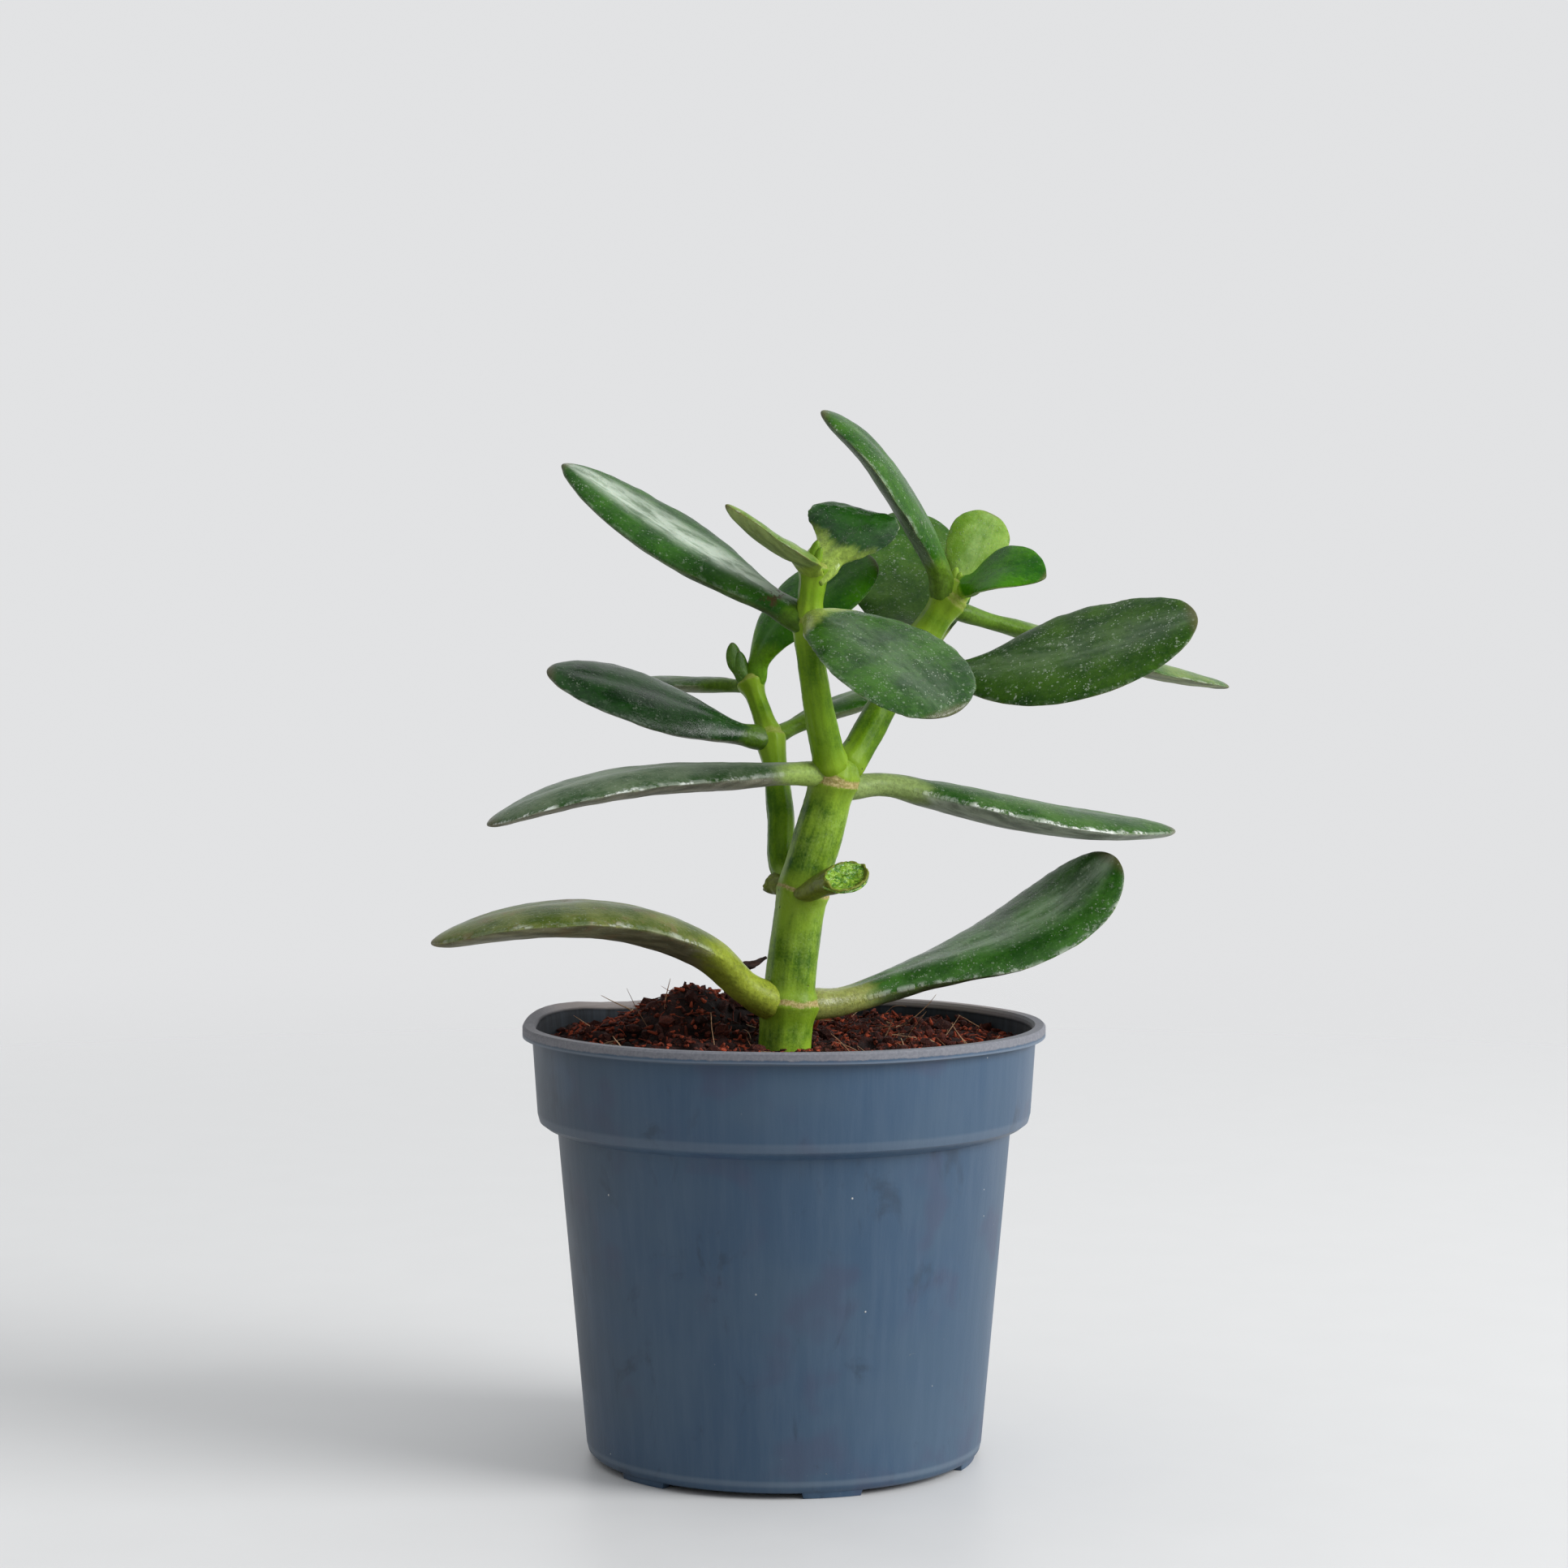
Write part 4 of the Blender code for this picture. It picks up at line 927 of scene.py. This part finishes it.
def make_stump(node, paint_side, paint_face, jag, flake, foot_size=1.0):
    """A torn-off leaf foot: a skin with a ragged lip round a hollow of moist flesh.

    jag and flake are how far, in millimetres, the lip is ragged and its one flake sticks out.
    foot_size is the width at the stem as a share of that at the lip.
    """
    bm = joined_mesh(node)
    ground = surface_of("main_stem")
    bmesh.ops.dissolve_limit(bm, angle_limit=math.radians(3.0), verts=bm.verts, edges=bm.edges)
    torn = max((f for f in bm.faces if len(f.verts) > LEAF_CORNERS - 3),
               key=lambda f: ground.find_nearest(f.calc_center_median())[3])
    lip = np.array([v.co[:] for v in torn.verts])
    outward = np.array(torn.normal)
    centre = lip.mean(axis=0)
    rest = np.array([v.co[:] for v in bm.verts if v not in set(torn.verts)])
    near = np.array([p for p in rest if ground.find_nearest(Vector(p))[3] < TOUCHING])
    foot = near.mean(axis=0)
    bm.free()
    inward = unit(foot - centre)
    rows, columns = 26, 64
    turns = np.arange(columns) / columns * len(lip)
    outline = smooth(np.arange(len(lip) + 7.0), np.concatenate([lip[-3:], lip, lip[:4]]), turns + 3.0)
    reach = outline - centre
    grid = np.zeros((rows, columns, 3))
    for i in range(rows):
        share = i / (rows - 1)
        middle = foot + 1.5 * MM * inward + (centre - foot - 1.5 * MM * inward) * share
        size = foot_size + (1 - foot_size) * fade(share, 0.2, 0.9)
        for j in range(columns):
            p = middle + reach[j] * size
            ragged = jag * MM * noise.noise(Vector((j * 0.55, 0.0, 7.7))) * fade(share, 0.75, 1.0)
            point = flake * MM * math.exp(-(((j - columns * 0.06) / 2.2) ** 2)) * fade(share, 0.8, 1.0)
            lump = 0.16 * MM * noise3(p, 2.0 * MM, 3.0)
            grid[i, j] = p + unit(reach[j]) * (lump + 0.5 * point) + outward * (ragged + point)
    verts = grid.reshape(-1, 3).tolist() + [grid[0].mean(axis=0).tolist(), centre.tolist()]
    side_faces = skin_faces(rows, columns)[:-2 * columns]
    side_faces += [(rows * columns, (j + 1) % columns, j) for j in range(columns)]
    share = np.full((len(verts), 3), (0.5, 0.0, 0.5))
    sizes = np.array(verts) / MM
    skin = new_piece(node + "_skin", verts[:-1], side_faces, paint_side,
                     {"leaf_share": share[:-1], "leaf_mm": sizes[:-1]})
    shell = skin.modifiers.new("wall", "SOLIDIFY")
    shell.thickness = 0.45 * MM
    shell.offset = -1.0
    face_outward(skin)
    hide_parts(node)

    rings = 16
    verts = []
    for i in range(1, rings + 1):
        size = i / rings * 0.97
        for j in range(columns):
            p = centre + (grid[-1, j] - centre - outward * np.dot(grid[-1, j] - centre, outward)) * size
            hollow = -0.9 * (1 - size**3)
            grains = 0.55 * noise3(p, 1.5 * MM, 9.0) + 0.40 * abs(noise3(p, 0.8 * MM, 2.0))
            verts.append((p + outward * (hollow + grains * (1.1 - size) - 0.12) * MM).tolist())
    verts.append((centre - outward * 0.9 * MM).tolist())
    faces = [(len(verts) - 1, j, (j + 1) % columns) for j in range(columns)]
    for i in range(rings - 1):
        for j in range(columns):
            k = (j + 1) % columns
            faces.append((i * columns + j, (i + 1) * columns + j, (i + 1) * columns + k, i * columns + k))
    flesh = new_piece(node + "_flesh", verts, faces, paint_face)
    body = flesh.modifiers.new("body", "SOLIDIFY")
    body.thickness = 0.5 * MM
    face_outward(flesh)
    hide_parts(node)


def make_plant():
    """The leaves and buds, the stems with a collar at each leaf's foot, and the two stumps."""
    feet = make_leaves()
    trunk = stem_paint("main_stem_paint", (0.014, 0.07, 0.001), (0.205, 0.335, 0.024), powder=0.22)
    branch = stem_paint("branch_paint", (0.036, 0.105, 0.001), (0.14, 0.26, 0.008), powder=0.05,
                        scars=0.35)
    stumps = [np.mean([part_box("leaf_stump_left")[1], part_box("leaf_stump_right")[0]], axis=0)]
    make_stem("main_stem", "roots", feet["main_stem"] + stumps, trunk)
    for node in ("front_branch", "right_branch", "back_branch"):
        make_stem(node, "main_stem", feet[node], branch)
    side = leaf_paint(
        "stump_paint", (0.05, 0.12, 0.002), (0.2, 0.27, 0.022), (0.18, 0.22, 0.03),
        rim=(0.4, 0.46, 0.2), flakes=0.1, sheen=0.0, specks=0.2, brown=0.2, stalk_length=-90.0)
    flesh = torn_paint("stump_flesh_paint", (0.045, 0.15, 0.002), (0.22, 0.39, 0.02), 0.12)
    dull = torn_paint("old_stump_flesh_paint", (0.12, 0.2, 0.04), (0.26, 0.33, 0.11), 0.4)
    make_stump("leaf_stump_right", side, flesh, jag=0.7, flake=1.5, foot_size=0.78)
    make_stump("leaf_stump_left", side, dull, jag=0.35, flake=0.0)


# ---------------------------------------------------------------------------- pot

POT_LOW, POT_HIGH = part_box("pot")
POT_TOP = float(sorted(v.co.z for v in NODES["pot"].data.vertices)[-1])
POT_RIM_RADIUS = float(max(abs(POT_LOW[0]), POT_HIGH[0]))
WALL_LEAST_RADIUS = 0.6 * POT_RIM_RADIUS   # the pot's wall and collar are outside this radius
POT_LEDGE = 0.79 * POT_TOP                 # top of the step under the collar
POT_FOOT_LINE = 3.0 * MM                   # where the wall turns in to the foot
SOIL_LOWEST = 0.86 * POT_TOP               # the CAD soil's bed is above this height


def make_pot():
    """The CAD pot with its wall turned round: finer columns, rounded edges and a worn rim."""
    bm = joined_mesh("pot")
    outer = [v for v in bm.verts if v.co.xy.length > WALL_LEAST_RADIUS]
    angles = sorted({round(math.atan2(v.co.y, v.co.x), 4) for v in outer})
    columns = [angles[0]]
    for angle in angles[1:]:
        if angle - columns[-1] > 0.002:
            columns.append(angle)
    columns = np.array(columns)
    wall_faces = [f for f in bm.faces if f.calc_center_median().xy.length > WALL_LEAST_RADIUS]
    bmesh.ops.join_triangles(
        bm, faces=wall_faces, angle_face_threshold=math.radians(12), angle_shape_threshold=math.radians(180))
    around = []
    for edge in bm.edges:
        a, b = (v.co for v in edge.verts)
        turn = abs(math.atan2(a.y, a.x) - math.atan2(b.y, b.x))
        turn = min(turn, math.tau - turn)
        if min(a.xy.length, b.xy.length) > WALL_LEAST_RADIUS and turn > 0.01:
            around.append(edge)
    bmesh.ops.subdivide_edges(bm, edges=around, cuts=3, use_grid_fill=True)
    for v in bm.verts:
        radius = v.co.xy.length
        if radius < WALL_LEAST_RADIUS:
            continue
        angle = math.atan2(v.co.y, v.co.x)
        i = int(np.searchsorted(columns, angle))
        left = columns[i - 1] if i > 0 else columns[-1] - math.tau
        right = columns[i] if i < len(columns) else columns[0] + math.tau
        if min(abs(angle - left), abs(right - angle)) < 0.004:
            continue
        bulge = math.cos(angle - (left + right) / 2) / math.cos((right - left) / 2)
        v.co.x *= bulge
        v.co.y *= bulge
    mesh = bpy.data.meshes.new("pot_fine")
    bmesh.ops.recalc_face_normals(bm, faces=bm.faces)
    bm.normal_update()
    turns = np.array([math.atan2(v.co.y, v.co.x) for v in bm.verts])
    heights = np.array([v.co.z for v in bm.verts])
    on_rim = np.array([v.co.xy.length > 0.9 * POT_RIM_RADIUS for v in bm.verts])
    tops = [heights[on_rim & (np.abs(np.angle(np.exp(1j * (turns - t)))) < 0.03)].max() for t in columns]
    rim_top = np.interp(turns, columns, tops, period=math.tau)
    facing_in = np.array([v.normal.xy.dot(v.co.xy) < 0 for v in bm.verts])
    skin = np.stack([facing_in, (rim_top - heights) / MM, np.zeros(len(turns))], axis=1)
    bm.to_mesh(mesh)
    bm.free()
    set_numbers(mesh, "pot_skin", skin)
    mesh.shade_smooth()
    mesh.set_sharp_from_angle(angle=math.radians(35))
    piece = placed("pot_fine", mesh, pot_paint())
    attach(piece, "root")
    rounding = piece.modifiers.new("rounding", "BEVEL")
    rounding.width = 0.18 * MM
    rounding.segments = 2
    rounding.limit_method = "ANGLE"
    rounding.angle_limit = math.radians(35)
    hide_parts("pot")


# ---------------------------------------------------------------------------- soil

def make_soil():
    """The coir bed: the CAD surface roughened, and covered with loose crumbs and fibres."""
    rng = np.random.default_rng(11)
    bm = joined_mesh("soil")
    top = [f for f in bm.faces if f.normal.z > 0.3 and f.calc_center_median().z > SOIL_LOWEST]
    edges = list({e for f in top for e in f.edges})
    bmesh.ops.subdivide_edges(bm, edges=edges, cuts=7, use_grid_fill=True)
    bm.normal_update()
    inner = POT_RIM_RADIUS - 3.0 * MM
    tones_and_shade = []
    for v in bm.verts:
        rough = 0.0
        if v.co.z > SOIL_LOWEST and v.normal.z > 0.2 and v.co.xy.length < inner:
            rough = soil_rough(v.co)
            v.co.z += rough * MM
        # the second number is painted shade: darker where the bed is sunk, in the hollows too
        tones_and_shade.append((0.35 + 0.15 * rough, max(0.0, min(1.0, 0.5 - 0.5 * rough)), 0.0))
    mesh = bpy.data.meshes.new("soil_bed")
    bm.to_mesh(mesh)
    bm.free()
    set_numbers(mesh, "tone", tones_and_shade)
    mesh.shade_smooth()
    earth = coir_paint("coir_bed_paint", (0.014, 0.0032, 0.0025), (0.14, 0.024, 0.012), (0.2, 0.06, 0.03))
    bed = placed("soil_bed", mesh, earth)
    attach(bed, "root")
    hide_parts("soil")

    ground = bmesh.new()
    ground.from_mesh(mesh)
    surface = BVHTree.FromBMesh(ground)
    ground.free()
    crumbs = coir_paint("coir_crumb_paint", (0.035, 0.006, 0.004), (0.29, 0.05, 0.02), (0.38, 0.13, 0.06))
    make_crumbs("soil_crumbs", 1100, surface, inner, rng, crumbs, (0.3, 1.0), (0.1, 0.9))
    make_crumbs("soil_clods", 260, surface, inner, rng, crumbs, (0.9, 2.3), (0.0, 0.5))
    make_crumbs("soil_dust", 1500, surface, inner, rng, crumbs, (0.18, 0.42), (0.2, 1.0))
    red = coir_paint("coir_fibre_paint", (0.045, 0.007, 0.004), (0.41, 0.068, 0.026), (0.56, 0.21, 0.11))
    tan = coir_paint("pale_fibre_paint", (0.26, 0.13, 0.065), (0.56, 0.37, 0.22), (0.62, 0.48, 0.34))
    make_fibres("soil_shreds", 2600, surface, inner, rng, red, (0.8, 2.7), 0.38, 1.3, steps=6)
    make_fibres("soil_fibres", 900, surface, inner, rng, red, (1.6, 5.0), 0.11, 0.35)
    make_fibres("soil_pale_fibres", 110, surface, inner, rng, tan, (4.0, 11.0), 0.12, 1.8)


# The hollows are sunk in the bed, and the bed, crumbs and fibres in them are darkened with painted shadow.
SOIL_HOLLOWS = (                 # (x, y, radius, depth) of the dark hollows by the stem, in millimetres
    (-9.5, 11.0, 5.5, 3.2),
    (18.0, 0.0, 4.5, 3.0),
    (-30.0, 3.0, 4.0, 1.5),
)


def hollow_share(p):
    """How far a place lies in one of the hollows, from 0 to 1, which sets the painted shadow there, and the
    depth there in millimetres.
    """
    share, depth = 0.0, 0.0
    for x, y, radius, deep in SOIL_HOLLOWS:
        here = math.exp(-((p[0] / MM - x) ** 2 + (p[1] / MM - y) ** 2) / radius**2)
        share = max(share, here)
        depth = max(depth, deep * here)
    return share, depth


def soil_rough(p):
    """How far the bed is raised or sunk at a place, in millimetres."""
    coarse = noise3(p, 5.0 * MM, 1.0)
    lumps = noise3(p, 2.2 * MM, 4.0)
    fine = noise3(p, 0.9 * MM, 8.0)
    gaps = fade(noise3(p, 3.4 * MM, 6.0), 0.22, 0.5)
    return 0.9 * coarse + 0.9 * lumps + 0.4 * fine - 1.3 * gaps - hollow_share(p)[1]


def below(surface, x, y):
    """(place, facing, face, distance) of the bed straight below a high place."""
    return surface.ray_cast(Vector((x, y, 2 * POT_TOP)), Vector((0, 0, -1)))


def soil_point(surface, inner, rng):
    """A random place on the bed, with the direction that the bed faces there."""
    while True:
        radius = inner * math.sqrt(rng.random())
        turn = math.tau * rng.random()
        hit, normal = below(surface, radius * math.cos(turn), radius * math.sin(turn))[:2]
        if hit is not None and hit.z > SOIL_LOWEST:
            return hit, normal


def make_crumbs(name, count, surface, inner, rng, paint, sizes, tone_span):
    """Loose angular crumbs, half sunk in the bed."""
    ball = bmesh.new()
    bmesh.ops.create_icosphere(ball, subdivisions=1, radius=1.0)
    corners = np.array([v.co[:] for v in ball.verts])
    triangles = np.array([[v.index for v in f.verts] for f in ball.faces])
    ball.free()
    verts, faces, tones_and_shade = [], [], []
    for k in range(count):
        hit, normal = soil_point(surface, inner, rng)
        size = sizes[0] + (sizes[1] - sizes[0]) * rng.random() ** 2.5
        stretch = np.array([1.0, 0.45 + 0.5 * rng.random(), 0.35 + 0.5 * rng.random()])
        shape = corners * (0.72 + 0.5 * rng.random((len(corners), 1))) * stretch * size * MM
        turn = Matrix.Rotation(math.tau * rng.random(), 3, Vector(rng.normal(size=3)).normalized())
        shape = shape @ np.array(turn)
        middle = np.array(hit + normal * size * 0.25 * MM)
        verts.append(shape + middle)
        faces.append(triangles + len(corners) * k)
        tone = tone_span[0] + (tone_span[1] - tone_span[0]) * rng.random()
        # some crumbs are darker at random, and those in the hollows get painted shadow
        shade = max(0.55 * rng.random() ** 3, 0.9 * hollow_share(hit)[0])
        tones_and_shade.append(np.tile((tone, shade, 0.0), (len(corners), 1)))
    piece = new_piece(name, np.concatenate(verts), np.concatenate(faces).tolist(), paint,
                      {"tone": np.concatenate(tones_and_shade)}, smooth_shaded=False)
    face_outward(piece)


def make_fibres(name, count, surface, inner, rng, paint, lengths, radius, rise, steps=12):
    """Thin curly fibres that lie on the bed and stand out of it."""
    sides = 5
    verts, faces, tones_and_shade = [], [], []
    for _ in range(count):
        hit, normal = soil_point(surface, inner, rng)
        length = lengths[0] + (lengths[1] - lengths[0]) * rng.random() ** 1.5
        head = Vector((rng.normal(), rng.normal(), 0.35 * rise * rng.normal())).normalized()
        curl = Vector(rng.normal(size=3)) * 0.35
        place = hit + normal * 0.15 * MM
        path = []
        for _ in range(steps):
            path.append(place.copy())
            bend = curl + Vector(rng.normal(size=3)) * 0.35
            head = (head + bend * length / (8.0 * steps)).normalized()
            place = place + head * length / steps * MM
            floor = below(surface, place.x, place.y)[0]
            lowest = (floor.z if floor is not None else hit.z) + 0.05 * MM
            if place.z < lowest:
                place.z = lowest
            if place.xy.length > inner:
                place.xy = place.xy * (inner / place.xy.length)
        thick = radius * (0.6 + 0.8 * rng.random())
        first = len(verts)
        for i, p in enumerate(path):
            ahead = (path[min(i + 1, steps - 1)] - path[max(i - 1, 0)]).normalized()
            side = ahead.cross(Vector((0.3, 0.2, 1.0))).normalized()
            other = ahead.cross(side)
            taper = thick * (1 - 0.75 * (i / steps) ** 2) * MM
            for k in range(sides):
                turn = math.tau * k / sides
                verts.append((p + taper * (math.cos(turn) * side + math.sin(turn) * other))[:])
        for i in range(steps - 1):
            for k in range(sides):
                a, b = first + i * sides + k, first + i * sides + (k + 1) % sides
                faces.append((a, b, b + sides, a + sides))
        faces.append(tuple(first + k for k in reversed(range(sides))))
        faces.append(tuple(first + (steps - 1) * sides + k for k in range(sides)))
        # fibres in the hollows get painted shadow
        tones_and_shade += [(rng.random(), 0.9 * hollow_share(hit)[0], 0.0)] * (sides * steps)
    piece = new_piece(name, verts, faces, paint, {"tone": tones_and_shade})
    face_outward(piece)


def make_bark_chip():
    """The bark chip with its splintered surface."""
    bm = joined_mesh("bark_chip")
    bmesh.ops.subdivide_edges(bm, edges=bm.edges[:], cuts=4, use_grid_fill=True)
    bm.normal_update()
    for v in bm.verts:
        ridged = abs(noise3((v.co.x * 0.4, v.co.y, v.co.z), 0.9 * MM, 2.0)) - 0.2
        v.co += v.normal * (0.55 * ridged + 0.25 * noise3(v.co, 2.0 * MM, 6.0)) * MM
    mesh = bpy.data.meshes.new("bark_chip_fine")
    bm.to_mesh(mesh)
    bm.free()
    chip = placed("bark_chip_fine", mesh, bark_paint())
    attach(chip, "root")
    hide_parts("bark_chip")


# ---------------------------------------------------------------------------- stage

def make_floor():
    """A pale floor that fades into the background a little way from the pot."""
    p = Paint("floor_paint")
    tone = p.noise(0.02, 3.0)
    colour = p.mix(tone, (0.6, 0.6, 0.6), (0.63, 0.63, 0.63))
    paint = p.finish(colour, p.between(tone, 0.42, 0.48), p.bump(tone, 0.01 * MM), Specular_IOR_Level=0.3)
    where = p.split(p.place)
    distance = p.math("SQRT", p.add(p.mul(where[0], where[0]), p.mul(where[1], where[1])))
    blend = p.node("ShaderNodeMixShader")
    p.plug(blend.inputs[0], p.step(distance, *FLOOR_FADE))
    p.plug(blend.inputs[1], p.shader.outputs[0])
    p.plug(blend.inputs[2], p.node("ShaderNodeBsdfTransparent").outputs[0])
    p.plug(p.tree.nodes["Material Output"].inputs["Surface"], blend.outputs[0])
    mesh = bpy.data.meshes.new("floor")
    drop = POT_LOW[2] - 0.05 * MM
    signs = ((-1, -1), (1, -1), (1, 1), (-1, 1))
    corners = [(x * FLOOR_REACH, y * FLOOR_REACH, drop) for x, y in signs]
    mesh.from_pydata(corners, [], [(0, 1, 2, 3)])
    floor = placed("floor", mesh, paint)


def make_light(name, place, size, watts):
    """A round soft light that points at the plant."""
    data = bpy.data.lights.new(name, "AREA")
    data.shape = "DISK"
    data.size = size
    data.energy = watts
    light = bpy.data.objects.new(name, data)
    light.location = place
    light.rotation_euler = (Vector(PLANT_MIDDLE) - Vector(place)).to_track_quat("-Z", "Y").to_euler()
    bpy.context.scene.collection.objects.link(light)


def make_world():
    """An even pale background, and soft daylight that comes mostly from behind, above and the right."""
    world = bpy.data.worlds.new("studio")
    world.use_nodes = True
    tree = world.node_tree
    seen = tree.nodes["Background"]
    seen.inputs["Color"].default_value = BACKGROUND
    light = tree.nodes.new("ShaderNodeBackground")
    place = tree.nodes.new("ShaderNodeTexCoord")
    slope = tree.nodes.new("ShaderNodeVectorMath")
    slope.operation = "DOT_PRODUCT"
    slope.inputs[1].default_value = DAYLIGHT_SLOPE
    tree.links.new(place.outputs["Generated"], slope.inputs[0])
    bright = tree.nodes.new("ShaderNodeMapRange")
    bright.interpolation_type = "SMOOTHSTEP"
    for key, number in zip(("From Min", "From Max", "To Min", "To Max"), DAYLIGHT_SPANS):
        bright.inputs[key].default_value = number
    tree.links.new(slope.outputs["Value"], bright.inputs["Value"])
    tree.links.new(bright.outputs["Result"], light.inputs["Strength"])
    light.inputs["Color"].default_value = DAYLIGHT
    path = tree.nodes.new("ShaderNodeLightPath")
    blend = tree.nodes.new("ShaderNodeMixShader")
    tree.links.new(path.outputs["Is Camera Ray"], blend.inputs[0])
    tree.links.new(light.outputs[0], blend.inputs[1])
    tree.links.new(seen.outputs[0], blend.inputs[2])
    tree.links.new(blend.outputs[0], tree.nodes["World Output"].inputs["Surface"])
    bpy.context.scene.world = world


def make_stage():
    make_floor()
    make_light("window", WINDOW_PLACE, WINDOW_SIZE, WINDOW_WATTS)
    make_world()
    bpy.context.scene.view_settings.view_transform = "Standard"


def make_camera():
    data = bpy.data.cameras.new("camera")
    data.lens = CAMERA_LENS
    data.sensor_width = CAMERA_SENSOR
    camera = bpy.data.objects.new("camera", data)
    camera.location = (0.0, -CAMERA_DISTANCE, CAMERA_HEIGHT)
    camera.rotation_euler = (math.radians(90 - CAMERA_TILT), 0.0, 0.0)
    bpy.context.scene.collection.objects.link(camera)
    bpy.context.scene.camera = camera


make_camera()
make_stage()
make_pot()
make_soil()
make_bark_chip()
make_plant()
NODES["roots"].data.materials[0] = root_paint()
